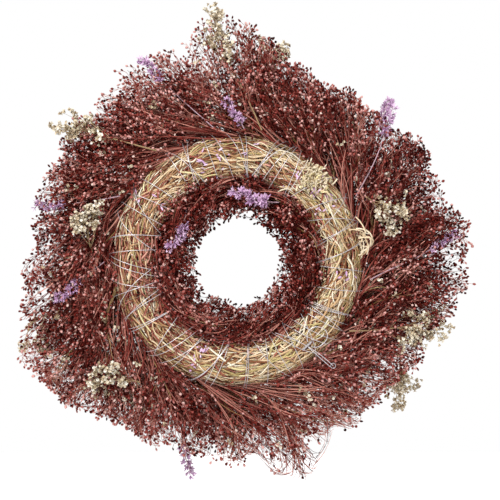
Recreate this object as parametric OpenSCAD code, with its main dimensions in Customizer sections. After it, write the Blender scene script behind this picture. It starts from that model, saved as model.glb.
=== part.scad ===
// Harvest door wreath: bunches of dried flowers wound with wire onto a ring of packed straw.
//
// Frame of the part: millimetres, +Z up. The bare straw back faces +Y, towards the door, and the
// flowers face -Y. The origin is where the door hook bears, at the inner top of the straw ring.
//
// The wreath is drawn lying down: its axis is Z, with the straw back up. seated() then stands it up.
// Angles run counter-clockwise as the back is seen, from its right-hand side.

/* [Straw ring] */
// Outer diameter of the straw ring
ring_d = 200; // [170:2:240]
// Thickness of the straw ring
straw_d = 34; // [28:1:41]
// Diameter of the thread that holds the straw together
thread_d = 0.5; // [0.3:0.1:0.8]

/* [Wreath] */
// Mean diameter over the tips of the outer bunches
wreath_d = 376; // [310:2:452]
// How far the crown of flowers sits off the ring's centre
crown_off = 7; // [0:1:12]
// Direction in which the crown sits off centre
crown_turn = 45; // [0:5:355]
// How much further the fullest bunches reach than the mean
flush_depth = 12; // [0:1:16]
// Number of full places round the crown
flush_count = 4; // [2:1:6]
// How far the inner bunches reach in from the binding wire
inner_reach = 20; // [14:1:26]
// Depth of the front bunches, measured from the outer ones
front_depth = 41; // [30:1:50]
// How far the front bunches reach out from the ring's centreline
front_reach = 66; // [50:1:80]

/* [Bunches] */
// Number of outer bunches
outer_count = 16; // [12:1:20]
// Number of front bunches
front_count = 10; // [8:1:12]
// Number of inner bunches
inner_count = 9; // [8:1:10]
// Thickness of the outer bunches
bunch_t = 40; // [30:1:48]
// How far the back of the bunches lies behind the ring's mid-plane
bunch_back = 4; // [2:0.5:6]
// Slant of the outer and front bunches away from straight outwards
swirl = 38; // [20:1:46]
// Slant of the inner bunches away from straight inwards
inner_swirl = 30; // [10:1:32]
// Gap between neighbouring bunches
bunch_gap = 1; // [0.6:0.1:2]
// Width left free at the top for the door hook
hook_w = 8; // [6:1:12]

/* [Binding wire] */
// Diameter of the binding wire
wire_d = 0.7; // [0.5:0.1:1]
// Room that the wire leaves for stems at the front of the ring
stem_room = 7.2; // [5.5:0.1:9]
// Places round the ring where the wire passes
wire_places = 36; // [24:2:44]
// Diameter of the tie wire and the hanging eye's wire
tie_d = 0.9; // [0.7:0.1:1.2]
// Diameter of the hanging eye
eye_d = 16; // [12:1:20]

/* [Flower sprigs] */
// Diameter of a sprig's stem
sprig_stem_d = 1.6; // [1.2:0.1:2]
// Diameter of a cream flower
cream_d = 8; // [6:0.5:10]
// Length of the twigs that carry the cream flowers
cream_twig = 14; // [12:1:18]
// Diameter of a lilac floret
lilac_d = 7; // [5:0.5:9]
// Length of a lilac spike
lilac_len = 26; // [18:1:32]

/* [Hidden] */
$fn = 64;
clear = 0.3;                        // between soft pieces and what they lie on
touch = 0.05;                       // between the wire and the straw that it presses on
straw_r = straw_d / 2;
ring_r = ring_d / 2 - straw_r;      // centreline of the straw ring
bind_r = straw_r + stem_room / 2 + wire_d / 2 + touch;         // radius of one turn of wire
bind_shift = bind_r - straw_r - wire_d / 2 - touch;            // its centre lies this far forward
band_in_r = straw_r + thread_d + clear;                        // stems lie between these two
band_out_r = bind_r - wire_d / 2 - clear;
sleeve_r = bind_r + wire_d / 2 + clear;                        // flower heads start outside this
root_r = ring_r + bind_r;           // outer bunches leave the wire here
inner_root_r = ring_r - bind_r + clear;
hole_r = ring_r - bind_r - inner_reach;
rim_r = bunch_t / 2;
outer_front = bunch_back - bunch_t; // front face of the outer and inner bunches
wire_pitch = 360 / wire_places;
plug_turn = wire_pitch * 0.5;       // width of the stems where they leave between two wires
reach_all = wreath_d;               // longer than any bunch
front_out_r = ring_r + front_reach + bunch_gap;                // just past the front bunches
floret_step = lilac_len / 5;
inner_len = inner_root_r * cos(inner_swirl);                   // to where they pass nearest the axis
lie_z = straw_r + wire_d + touch + clear / 2;                  // the tie lies on the binding wire

straw_colour = "#cfa678";
thread_colour = "#b9a58c";
wire_colour = "#b4b4c2";
bunch_colours = ["#6b2b2a", "#7a3433", "#5f2423"];
cream_colour = "#e9ddcb";
lilac_colour = "#c9a5c0";

// Sprigs: angle at the root of the bunches that they lie on, share of the way out over them, and
// where they lie (1 back of the outer bunches, 0 back of the inner ones, -1 front of the outer ones)
cream_at = [
    [76.1, 0.786, 1], [126.3, 0.548, 1], [164.7, 0.214, 1], [217.6, 0.405, 1], [326.0, 0.5, 1],
    [15.3, 0.19, 1], [70.6, 0.263, -1], [190.6, 0.263, -1], [310.9, 0.21, -1]
];
lilac_at = [
    [85.9, 0, 1], [98.0, 0.658, 1], [148.6, 0.515, 1], [179.1, 0.258, 1], [27.0, 0.658, 1],
    [-10.0, 0.658, 1], [154, 0.59, 0], [74, 0.59, 0], [239.3, 0.21, -1], [29.3, 0.21, -1]
];

// The tie's points, as [distance from the ring's centre, angle]
twist_at = [ring_r + 5, -50.5];
eye_at = [ring_r + 5, -43.5];
tail_ends = [[ring_r - 18, -62], [ring_r - 11, -56]];
across_end = [ring_r + straw_r + 14, -47.5];
eyelet_d = 4;
twist_len = 9;
twist_d = 2 * tie_d;

function two(i) = str(i < 10 ? "0" : "", i);
function names(stem, count) = [for (i = [1:count]) str(stem, "_", two(i))];

function polar(r, a) = [r * cos(a), r * sin(a)];

// How far a stem that leans by lean at radius r0 has turned round the ring by radius r1
function drift(lean, r0, r1) = lean - asin(r0 * sin(lean) / r1);

// Nearest place, halfway between two wires, where stems can leave the wire
function wire_gap(a) = round(a / wire_pitch) * wire_pitch;

// Reach of an outer bunch whose tip lies at angle a
function reach(a) = wreath_d / 2 - flush_depth + crown_off * cos(a - crown_turn)
    + flush_depth * cos(flush_count * a - 32);

// Stands the wreath up, with its straw back to +Y and the hook's seat at the origin
module seated() {
    translate([0, 0, straw_r - ring_r]) rotate([90, 0, 180]) children();
}

module ring_turn(a, turn) {
    rotate([0, 0, a]) rotate_extrude(angle = turn) children();
}

// Profiles lie in the plane of distance from the axis and height above the mid-plane
module straw_disc(r) {
    translate([ring_r, 0]) circle(r = r);
}

module wire_disc(r) {
    translate([ring_r, -bind_shift]) circle(r = r);
}

module wedge(from, to) {
    far = 2 * bind_r;
    centre = [ring_r, 0];
    polygon([centre, centre + polar(far, from), centre + polar(far, (from + to) / 2),
             centre + polar(far, to)]);
}

// Stems between the straw and the wire, over part of the way round the straw
module stems_profile(from, to) {
    intersection() {
        difference() {
            wire_disc(band_out_r);
            straw_disc(band_in_r);
        }
        wedge(from, to);
    }
}

module outer_profile(reach_r) {
    difference() {
        union() {
            translate([ring_r + bind_r / 2, outer_front])
                square([reach_r - rim_r - ring_r - bind_r / 2, bunch_t]);
            translate([reach_r - rim_r, bunch_back - rim_r]) circle(r = rim_r);
        }
        wire_disc(sleeve_r);
    }
}

module inner_profile() {
    corner = inner_reach * 0.4;
    difference() {
        union() {
            translate([hole_r + corner, outer_front])
                square([ring_r - bind_r / 2 - hole_r - corner, bunch_t]);
            translate([hole_r, outer_front + corner]) square([corner * 2, bunch_t - corner * 2]);
            for (z = [bunch_back - corner, outer_front + corner])
                translate([hole_r + corner, z]) circle(r = corner);
        }
        wire_disc(sleeve_r);
    }
}

module front_profile() {
    corner = front_depth / 2;
    top = outer_front - bunch_gap;
    inside = hole_r + inner_reach / 4;
    outside = ring_r + front_reach;
    neck = bind_r / 2 - bunch_gap;
    difference() {
        union() {
            translate([inside + corner, top - front_depth])
                square([outside - inside - 2 * corner, front_depth]);
            for (r = [inside + corner, outside - corner])
                translate([r, top - corner]) circle(r = corner);
            translate([ring_r - neck, top - corner]) square([2 * neck, corner - top]);
        }
        wire_disc(sleeve_r);
        translate([ring_r - neck, 0]) square([2 * neck, 2 * bind_r]);
    }
}

// Plan of one bunch: straight from the heel to the root, then slanted by lean from there on
module plan(a, pitch, lean, heel, root, len) {
    trim = bunch_gap / 2 / root / abs(cos(lean)) * 180 / PI;
    from = a + trim;
    to = a + pitch - trim;
    polygon([polar(heel, from), polar(root, from), polar(root, from) + polar(len, from + lean),
             polar(root, to) + polar(len, to + lean), polar(root, to), polar(heel, to)]);
}

module head(a, pitch, lean, heel, root, len) {
    intersection() {
        rotate_extrude() children();
        translate([0, 0, -reach_all / 2]) linear_extrude(reach_all)
            plan(a, pitch, lean, heel, root, len);
    }
}

// One bunch: its stems under the wire, where they leave between two wires, and its head
module bunch(a, pitch, from, to, plug_from, plug_size) {
    edge = bunch_gap;
    leave = wire_gap(a + pitch / 2) - plug_turn / 2;
    union() {
        ring_turn(a + edge / 2, pitch - edge) stems_profile(from, to);
        ring_turn(leave, plug_turn) translate(plug_from) square(plug_size);
        children();
    }
}

function tone(i) = bunch_colours[i % len(bunch_colours)];

module outer_bunch(i) {
    pitch = 360 / outer_count;
    a = pitch * (i - 1);
    tip = a + pitch / 2 + drift(swirl, root_r, wreath_d / 2);
    color(tone(i)) seated()
        bunch(a, pitch, -50, 12, [ring_r + band_in_r + clear, -12], [bind_r - straw_r + 2, 14])
            head(a, pitch, swirl, ring_r, root_r, reach_all) outer_profile(reach(tip));
}

module front_bunch(i) {
    pitch = 360 / front_count;
    a = pitch * (i - 1) + pitch / 3;
    color(tone(i + 1)) seated()
        bunch(a, pitch, -126, -54, [ring_r - 6, -straw_r - stem_room - 4], [12, stem_room])
            head(a, pitch, swirl, hole_r / 2, ring_r, reach_all) front_profile();
}

module inner_bunch(i) {
    pitch = 360 / inner_count;
    a = 90 + pitch * (i - 1);
    beyond = i == inner_count ? ring_r : 0;  // the last one stops at the hook, as nothing holds it there
    color(tone(i + 2)) seated()
        difference() {
            bunch(a, pitch, 168, 230, [inner_root_r - 2, -12], [bind_r - band_in_r + 1.5, 14])
                head(a, pitch, 180 - inner_swirl, ring_r, inner_root_r, inner_len) inner_profile();
            translate([-hook_w / 2 - beyond, 0, outer_front - 1])
                cube([hook_w + beyond, ring_d, bunch_t + 2]);
        }
}

module straw_ring() {
    color(straw_colour) seated() rotate_extrude() straw_disc(straw_r);
}

// A few straws that stand out of the ring at angle a, from angle phi round its thickness
module tuft(a, phi, count, length, rise) {
    straw = 0.9;
    foot = straw_r - 2;
    for (k = [0:count - 1]) {
        side = (k - (count - 1) / 2) * 1.1;
        rotate([0, 0, a]) translate([ring_r + foot * cos(phi), side, foot * sin(phi)])
            rotate([0, 90 - rise - 3 * (k % 2), 3 * side]) cylinder(h = length - 2 * (k % 3), d = straw);
    }
}

module straw_ends() {
    color(straw_colour) seated()
        difference() {
            union() {
                tuft(wire_pitch * 4.75, 84, 5, 22, 24);
                tuft(wire_pitch * 0.83, 34, 3, 24, 4);
            }
            rotate_extrude() straw_disc(straw_r);
        }
}

// One turn round the ring's thickness at angle a
module turn_at(a, r, shift, d) {
    rotate([90, 0, a]) translate([ring_r, -shift, 0])
        rotate_extrude() translate([r, 0]) circle(d = d, $fn = 24);
}

module base_thread() {
    color(thread_colour) seated()
        for (k = [0:wire_places - 1])
            turn_at(k * wire_pitch, straw_r + touch + thread_d / 2, 0, thread_d);
}

module binding_wire() {
    color(wire_colour) seated()
        for (k = [0:wire_places - 1])
            turn_at((k + 0.5) * wire_pitch, bind_r, bind_shift, wire_d);
}

// A straight piece of wire that lies on the back, between two points of the plan
module wire_run(p, q, d) {
    step = q - p;
    translate([p[0], p[1], lie_z + twist_d / 2])
        rotate([0, 90, atan2(step[1], step[0])]) cylinder(h = norm(step), d = d);
}

twist_start = polar(twist_at[0], twist_at[1]);
twist_end = polar(eye_at[0], eye_at[1]);
twist_step = (twist_end - twist_start) / norm(twist_end - twist_start) * twist_len / 2;

module twist() {
    wire_run(twist_start - twist_step, twist_start + twist_step, twist_d);
}

// The twisted end, its two cut tails, and the end that runs across to the flowers with an eyelet
module tie() {
    out = polar(across_end[0], across_end[1]);
    twist();
    for (k = [0, 1]) {
        tail = tail_ends[k];
        wire_run(twist_start + twist_step * (k - 0.5), polar(tail[0], tail[1]), tie_d);
    }
    wire_run(twist_start, out, tie_d);
    translate([out[0], out[1], lie_z + twist_d / 2])
        rotate_extrude() translate([eyelet_d / 2, 0]) circle(d = tie_d, $fn = 24);
}

module tie_wire() {
    color(wire_colour) seated() union() tie();
}

module hanging_eye() {
    at = polar(eye_at[0], eye_at[1]);
    color(wire_colour) seated()
        difference() {
            translate([at[0], at[1], lie_z + twist_d / 2])
                rotate_extrude() translate([eye_d / 2, 0]) circle(d = tie_d, $fn = 24);
            tie();
        }
}

// Distance from the ring's centre of sprig s, whose flowers reach back along its stem by room
function sprig_r(s, room) =
    s[2] == 0
        ? hole_r + s[1] * (inner_root_r - hole_r)
        : let (from = (s[2] > 0 ? root_r : front_out_r) + room) from + s[1] * (wreath_d / 2 - from);

// Lays the flowers of sprig s, of thickness d, on the back or the front of the bunches, with its
// stem running in along the slant of the bunches. The flowers point along +X.
module laid_sprig(s, d, room) {
    r = sprig_r(s, room);
    z = s[2] < 0 ? outer_front - clear - d / 2 : bunch_back + clear + d / 2;
    start_r = s[2] < 0 ? front_out_r : root_r + sprig_stem_d;
    turned = s[2] == 0 ? 0 : drift(swirl, root_r, r);
    lean = s[2] == 0 ? 90 : swirl;
    run = s[2] == 0 ? lilac_len * 0.75 : (r - start_r) / cos(lean - turned);
    translate(concat(polar(r, s[0] + turned), z)) rotate([0, 0, s[0] + lean]) {
        translate([-run, 0, 0]) rotate([0, 90, 0]) cylinder(h = run, d = sprig_stem_d);
        children();
    }
}

module cream_sprig(i) {
    color(cream_colour) seated()
        laid_sprig(cream_at[i - 1], cream_d, 0)
            for (k = [-2:2]) rotate([0, 0, 24 * k]) {
                twig = cream_twig - 1.5 * abs(k);
                rotate([0, 90, 0]) cylinder(h = twig, d = sprig_stem_d);
                translate([twig, 0, 0]) sphere(d = cream_d);
            }
}

// Half the outline of a lilac spike: a row of florets on its stem
module spike_profile() {
    intersection() {
        union() {
            for (k = [-2:2]) translate([0, k * floret_step]) circle(d = lilac_d);
            translate([0, -2 * floret_step]) square([sprig_stem_d / 2, 4 * floret_step]);
        }
        translate([0, -lilac_len]) square([lilac_d, 2 * lilac_len]);
    }
}

module lilac_spike(i) {
    color(lilac_colour) seated()
        laid_sprig(lilac_at[i - 1], lilac_d, 2 * floret_step + lilac_d / 2)
            rotate([0, 90, 0]) rotate_extrude() spike_profile();
}

straw_ring();
straw_ends();
base_thread();
binding_wire();
tie_wire();
hanging_eye();
for (i = [1:outer_count]) outer_bunch(i);
for (i = [1:front_count]) front_bunch(i);
for (i = [1:inner_count]) inner_bunch(i);
for (i = [1:len(cream_at)]) cream_sprig(i);
for (i = [1:len(lilac_at)]) lilac_spike(i);
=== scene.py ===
"""Harvest door wreath: bunches of dried flowers wound with wire onto a ring of packed straw.

Every bunch, sprig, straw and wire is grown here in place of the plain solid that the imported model
holds for it, and takes its place, reach and depth from that solid. The wreath is grown lying flat,
as its straw back is seen: x to the right, y up and z towards the door, in metres. RingPlan stands
it up into the wreath's own frame.
"""

import logging
import math
from dataclasses import dataclass
from enum import Enum, IntEnum

import bpy
import numpy as np
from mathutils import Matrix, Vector


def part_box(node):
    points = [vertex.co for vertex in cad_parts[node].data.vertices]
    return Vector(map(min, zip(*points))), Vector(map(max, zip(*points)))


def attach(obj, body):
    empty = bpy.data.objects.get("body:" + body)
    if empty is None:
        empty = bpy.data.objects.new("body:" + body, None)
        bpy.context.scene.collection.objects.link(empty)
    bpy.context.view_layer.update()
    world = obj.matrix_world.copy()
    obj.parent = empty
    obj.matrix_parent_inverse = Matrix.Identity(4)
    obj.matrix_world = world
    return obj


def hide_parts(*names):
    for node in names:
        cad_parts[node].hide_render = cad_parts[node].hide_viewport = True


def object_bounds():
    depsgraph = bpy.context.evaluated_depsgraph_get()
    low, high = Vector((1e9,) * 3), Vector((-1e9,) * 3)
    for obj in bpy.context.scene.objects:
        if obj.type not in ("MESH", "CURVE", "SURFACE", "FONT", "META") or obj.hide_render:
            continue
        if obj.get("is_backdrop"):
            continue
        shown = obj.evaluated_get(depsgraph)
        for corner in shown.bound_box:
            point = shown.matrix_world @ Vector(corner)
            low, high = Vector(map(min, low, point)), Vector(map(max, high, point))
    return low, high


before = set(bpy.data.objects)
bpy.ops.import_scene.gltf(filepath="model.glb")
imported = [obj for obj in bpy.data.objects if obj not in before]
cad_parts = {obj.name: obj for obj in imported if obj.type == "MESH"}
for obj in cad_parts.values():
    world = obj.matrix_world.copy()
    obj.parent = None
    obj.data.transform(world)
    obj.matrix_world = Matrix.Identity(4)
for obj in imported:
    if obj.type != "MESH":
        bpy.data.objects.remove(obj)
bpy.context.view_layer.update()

Array = np.ndarray
Rng = np.random.Generator
Piece = bpy.types.Object
Material = bpy.types.Material
Tree = bpy.types.NodeTree
Node = bpy.types.Node
Socket = bpy.types.NodeSocket
Sockets = bpy.types.NodeOutputs
MM = 0.001
AXIS = np.array([0, 0, 1.0])  # the wreath's axis while it lies flat, towards the door
SWATCH_MAP = "OFBake"
SWATCH_ROWS = 4
log = logging.getLogger("wreath")


# ---------------------------------------------------------------------------- small geometry


def unit(vectors: Array) -> Array:
    """Vectors scaled to length one."""
    return vectors / np.maximum(np.linalg.norm(vectors, axis=-1, keepdims=True), 1e-12)


def square_to(ahead: Array, vectors: Array) -> Array:
    """The part of each vector that is square to a unit direction, scaled to length one."""
    return unit(vectors - (vectors * ahead).sum(-1, keepdims=True) * ahead)


def polar(r: Array, turn: Array, z: Array) -> Array:
    """Points from distance to the axis, angle in radians and height."""
    r, turn, z = np.broadcast_arrays(r, turn, z)
    return np.stack([r * np.cos(turn), r * np.sin(turn), z], -1)


def soft_limit(values: Array, low: float | Array, high: float | Array, give: float) -> Array:
    """Presses values into a range, gently over the last stretch.

    Args:
        values: The values to limit.
        low: Lowest value that is left as it is.
        high: Highest value that is left as it is.
        give: How far a value may end up outside those two.

    Returns:
        The limited values.
    """
    over = np.maximum(values - high, 0)
    under = np.maximum(low - values, 0)
    return values - over + give * np.tanh(over / give) + under - give * np.tanh(under / give)


def varied(rng: Rng, middle: float | Array, spread: float, n: int) -> Array:
    """Tones from 0 to 1 that scatter round a middle one."""
    return np.clip(middle + rng.normal(0, spread, n), 0, 1)


def bezier(start: Array, handle: Array, end: Array, count: int) -> Array:
    """Curves from start to end, pulled towards a handle.

    Args:
        start: Start points, (n, 3).
        handle: Handles, (n, 3).
        end: End points, (n, 3).
        count: Points on each curve.

    Returns:
        Paths as an array (n, count, 3).
    """
    s = np.linspace(0, 1, count)[None, :, None]
    return (1 - s) ** 2 * start[:, None] + 2 * s * (1 - s) * handle[:, None] + s**2 * end[:, None]


def arched(start: Array, leave: Array, end: Array, pull: float, count: int) -> Array:
    """Curves that leave their start in one direction and arch over to their end.

    Args:
        start: Start points, (n, 3).
        leave: Directions at the start, (n, 3).
        end: End points, (n, 3).
        pull: How far the first direction carries, as a share of the span.
        count: Points on each curve.

    Returns:
        Paths as an array (n, count, 3).
    """
    span = np.linalg.norm(end - start, axis=1)
    return bezier(start, start + leave * (pull * span)[:, None], end, count)


def sway(paths: Array, rng: Rng, size: float) -> Array:
    """Bends each path a little, more towards its tip.

    Args:
        paths: Paths (n, k, 3).
        rng: Source of the bends.
        size: Sideways move at the tip.

    Returns:
        The bent paths.
    """
    s = np.linspace(0, 1, paths.shape[1])[None, :, None]
    moved = np.zeros_like(paths)
    for waves in (1, 2.3):
        way = rng.normal(0, 1, (len(paths), 1, 3))
        phase = rng.uniform(0, 2 * math.pi, (len(paths), 1, 1))
        moved += way * (np.sin(waves * math.pi * s + phase) - np.sin(phase)) / waves
    return paths + moved * size * s


def along_paths(paths: Array, parent: Array, at: Array) -> tuple[Array, Array]:
    """Places on paths and the direction of the path there.

    Args:
        paths: Paths (n, k, 3).
        parent: Which path each place lies on, (m,).
        at: How far along it, from 0 to 1, (m,).

    Returns:
        Points (m, 3) and unit directions (m, 3).
    """
    x = np.clip(at, 0, 1) * (paths.shape[1] - 1)
    i = np.minimum(x.astype(int), paths.shape[1] - 2)
    low, high = paths[parent, i], paths[parent, i + 1]
    return low + (high - low) * (x - i)[:, None], unit(high - low)


def branch(
    paths: Array,
    parent: Array,
    at: Array,
    spread: Array,
    length: Array,
    bend: float,
    count: int,
    rng: Rng,
) -> Array:
    """Side shoots that leave their parent at an angle and curve back to run along it.

    Args:
        paths: The parents' paths (n, k, 3).
        parent: Each shoot's parent, (m,).
        at: Where on the parent it starts, (m,).
        spread: Angle to the parent in radians, (m,).
        length: Length of each shoot, (m,).
        bend: How far it turns back, from 0 for straight to 1 for parallel.
        count: Points on each shoot.
        rng: Source of the directions.

    Returns:
        The shoots' paths (m, count, 3).
    """
    base, ahead = along_paths(paths, parent, at)
    side = square_to(ahead, rng.normal(0, 1, base.shape))
    out = np.cos(spread)[:, None] * ahead + np.sin(spread)[:, None] * side
    end = unit(out + (ahead - out) * bend)
    s = np.linspace(0, 1, count)[None, :, None]
    return base[:, None] + length[:, None, None] * (out[:, None] * s + (end - out)[:, None] * s**2 / 2)


# ---------------------------------------------------------------------------- the ring's plan


@dataclass(frozen=True)
class RingPlan:
    """The straw ring's place and size, and the change between lying flat and hanging."""

    height: float
    line_r: float
    straw_r: float

    @classmethod
    def from_model(cls) -> "RingPlan":
        """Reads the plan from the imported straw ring.

        Returns:
            The plan.
        """
        low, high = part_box("straw_ring")
        straw_r = (high.y - low.y) / 2
        return cls((low.z + high.z) / 2, (high.x - low.x) / 2 - straw_r, straw_r)

    def stand_up(self, points: Array) -> Array:
        """Points lying flat, moved to where they are on the hanging wreath."""
        return np.stack([-points[..., 0], points[..., 2], points[..., 1] + self.height], -1)

    def lie_down(self, points: Array) -> Array:
        """Points on the hanging wreath, moved to where they are lying flat."""
        return np.stack([-points[..., 0], points[..., 2] - self.height, points[..., 1]], -1)

    def on_tube(self, turn: Array, phi: Array, r: Array) -> Array:
        """Points at angle turn round the ring and phi round its thickness, r from its centreline."""
        return polar(self.line_r + r * np.cos(phi), turn, r * np.sin(phi))

    def outward(self, turn: Array, phi: Array) -> Array:
        """The straw's outward direction at those angles."""
        return polar(np.cos(phi), turn, np.sin(phi))

    def depth_in(self, points: Array) -> Array:
        """Distance of points from the ring's centreline."""
        r = np.hypot(points[..., 0], points[..., 1]) - self.line_r
        return np.hypot(r, points[..., 2])

    def clear_straw(self, points: Array, gap: float) -> Array:
        """Pushes points out of the straw.

        Args:
            points: Points lying flat.
            gap: Least distance that they keep from the straw's surface.

        Returns:
            The moved points.
        """
        r = np.maximum(np.hypot(points[..., 0], points[..., 1]), 1e-6)
        core = points.copy()
        core[..., 0] *= self.line_r / r
        core[..., 1] *= self.line_r / r
        core[..., 2] = 0
        away = points - core
        need = (self.straw_r + gap) / np.maximum(np.linalg.norm(away, axis=-1), 1e-6)
        return core + away * np.maximum(need, 1)[..., None]


@dataclass(frozen=True)
class Solid:
    """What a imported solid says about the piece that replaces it, lying flat."""

    name: str
    points: Array

    @classmethod
    def read(cls, name: str, plan: RingPlan) -> "Solid":
        """Reads a node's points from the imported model.

        Args:
            name: The node's name.
            plan: The ring's plan, which lays the points flat.

        Returns:
            The solid.
        """
        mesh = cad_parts[name].data
        found = np.empty(len(mesh.vertices) * 3, np.float32)
        mesh.vertices.foreach_get("co", found)
        return cls(name, plan.lie_down(found.reshape(-1, 3).astype(float)))

    @property
    def reach(self) -> float:
        """Greatest distance from the wreath's axis."""
        return float(np.hypot(self.points[:, 0], self.points[:, 1]).max())

    @property
    def inside(self) -> float:
        """Least distance from the wreath's axis."""
        return float(np.hypot(self.points[:, 0], self.points[:, 1]).min())

    @property
    def heights(self) -> tuple[float, float]:
        """Lowest and highest point."""
        return float(self.points[:, 2].min()), float(self.points[:, 2].max())

    def ends(self) -> tuple[Array, Array]:
        """Finds the solid's two ends along its longest direction.

        Returns:
            Both ends, the one nearer the ring's centreline first.
        """
        centre = (self.points.max(0) + self.points.min(0)) / 2
        away = self.points - self.points.mean(0)
        axis = np.linalg.eigh(away.T @ away)[1][:, -1]
        at = (self.points - centre) @ axis
        low, high = centre + axis * at.min(), centre + axis * at.max()
        ring = PLAN.line_r
        if abs(math.hypot(*low[:2]) - ring) > abs(math.hypot(*high[:2]) - ring):
            low, high = high, low
        return low, high


PLAN = RingPlan.from_model()


@dataclass(frozen=True)
class Lobe:
    """A smooth rise in some amount round the ring: where and how wide, in degrees, and how much."""

    turn: float
    width: float
    size: float

    def at(self, turn: Array) -> Array:
        """The rise at an angle in radians."""
        off = (np.degrees(turn) - self.turn + 180) % 360 - 180
        return self.size * np.exp(-0.5 * (off / self.width) ** 2)


def rise(lobes: tuple[Lobe, ...], turn: Array) -> Array:
    """The sum of some lobes at an angle in radians."""
    return sum(lobe.at(turn) for lobe in lobes)


@dataclass(frozen=True)
class Outline:
    """The wreath's uneven outline: an even reach, with a few places where the bunches reach further."""

    reach: float
    lobes: tuple[Lobe, ...]
    ripples: tuple[tuple[int, float], ...] = ((17, 2.6 * MM), (29, 2.2 * MM), (43, 1.6 * MM))

    @classmethod
    def from_model(cls) -> "Outline":
        """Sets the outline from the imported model's width; sizes are shares of its half width.

        Returns:
            The outline.
        """
        low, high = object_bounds()
        half = (high.x - low.x) / 2
        right, top, left, foot = (1, 13, 0.145), (91, 8, 0.17), (206, 13, 0.15), (287, 6, 0.125)
        shoulders = ((30, 10, 0.05), (114, 16, 0.085), (140, 14, 0.04), (172, 12, 0.03))
        places = (right, top, left, foot, *shoulders)
        return cls(0.82 * half, tuple(Lobe(turn, width, size * half) for turn, width, size in places))

    def at(self, turn: Array) -> Array:
        """How far the flowers reach at an angle in radians."""
        return self.reach + rise(self.lobes, turn) + sum(h * np.sin(k * turn + k) for k, h in self.ripples)


OUTLINE = Outline.from_model()
# Where the flowers' tone is paler, or darker below 0.
PALER = (
    Lobe(293, 30, 0.15),
    Lobe(0, 20, -0.11),
    Lobe(48, 20, -0.08),
    Lobe(228, 18, 0.13),
    Lobe(90, 22, 0.09),
)
# Where more of each stem carries no shoots.
BARER = (Lobe(278, 34, 0.5), Lobe(225, 16, 0.2), Lobe(100, 20, 0.15))
# Where more of the straw has taken on the flowers' dye.
DYED = (Lobe(185, 26, 0.38), Lobe(245, 16, 0.12), Lobe(60, 16, 0.08))
# Where more of the seed heads are missing.
SPARSER = (Lobe(290, 28, 0.6), Lobe(225, 14, 0.25), Lobe(100, 12, 0.15))


def nodes_named(stem: str) -> list[str]:
    """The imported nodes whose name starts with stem, in order."""
    return sorted(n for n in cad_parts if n.startswith(stem))


# ---------------------------------------------------------------------------- growing meshes


class Form(Enum):
    """Outlines of small repeated shapes: (distance along, half width) pairs from base to tip."""

    POD = ((0.0, 0.0), (0.3, 0.42), (0.68, 0.46), (1.0, 0.0))
    CUP = ((0.0, 0.12), (0.5, 0.4), (1.0, 0.5))


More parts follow.
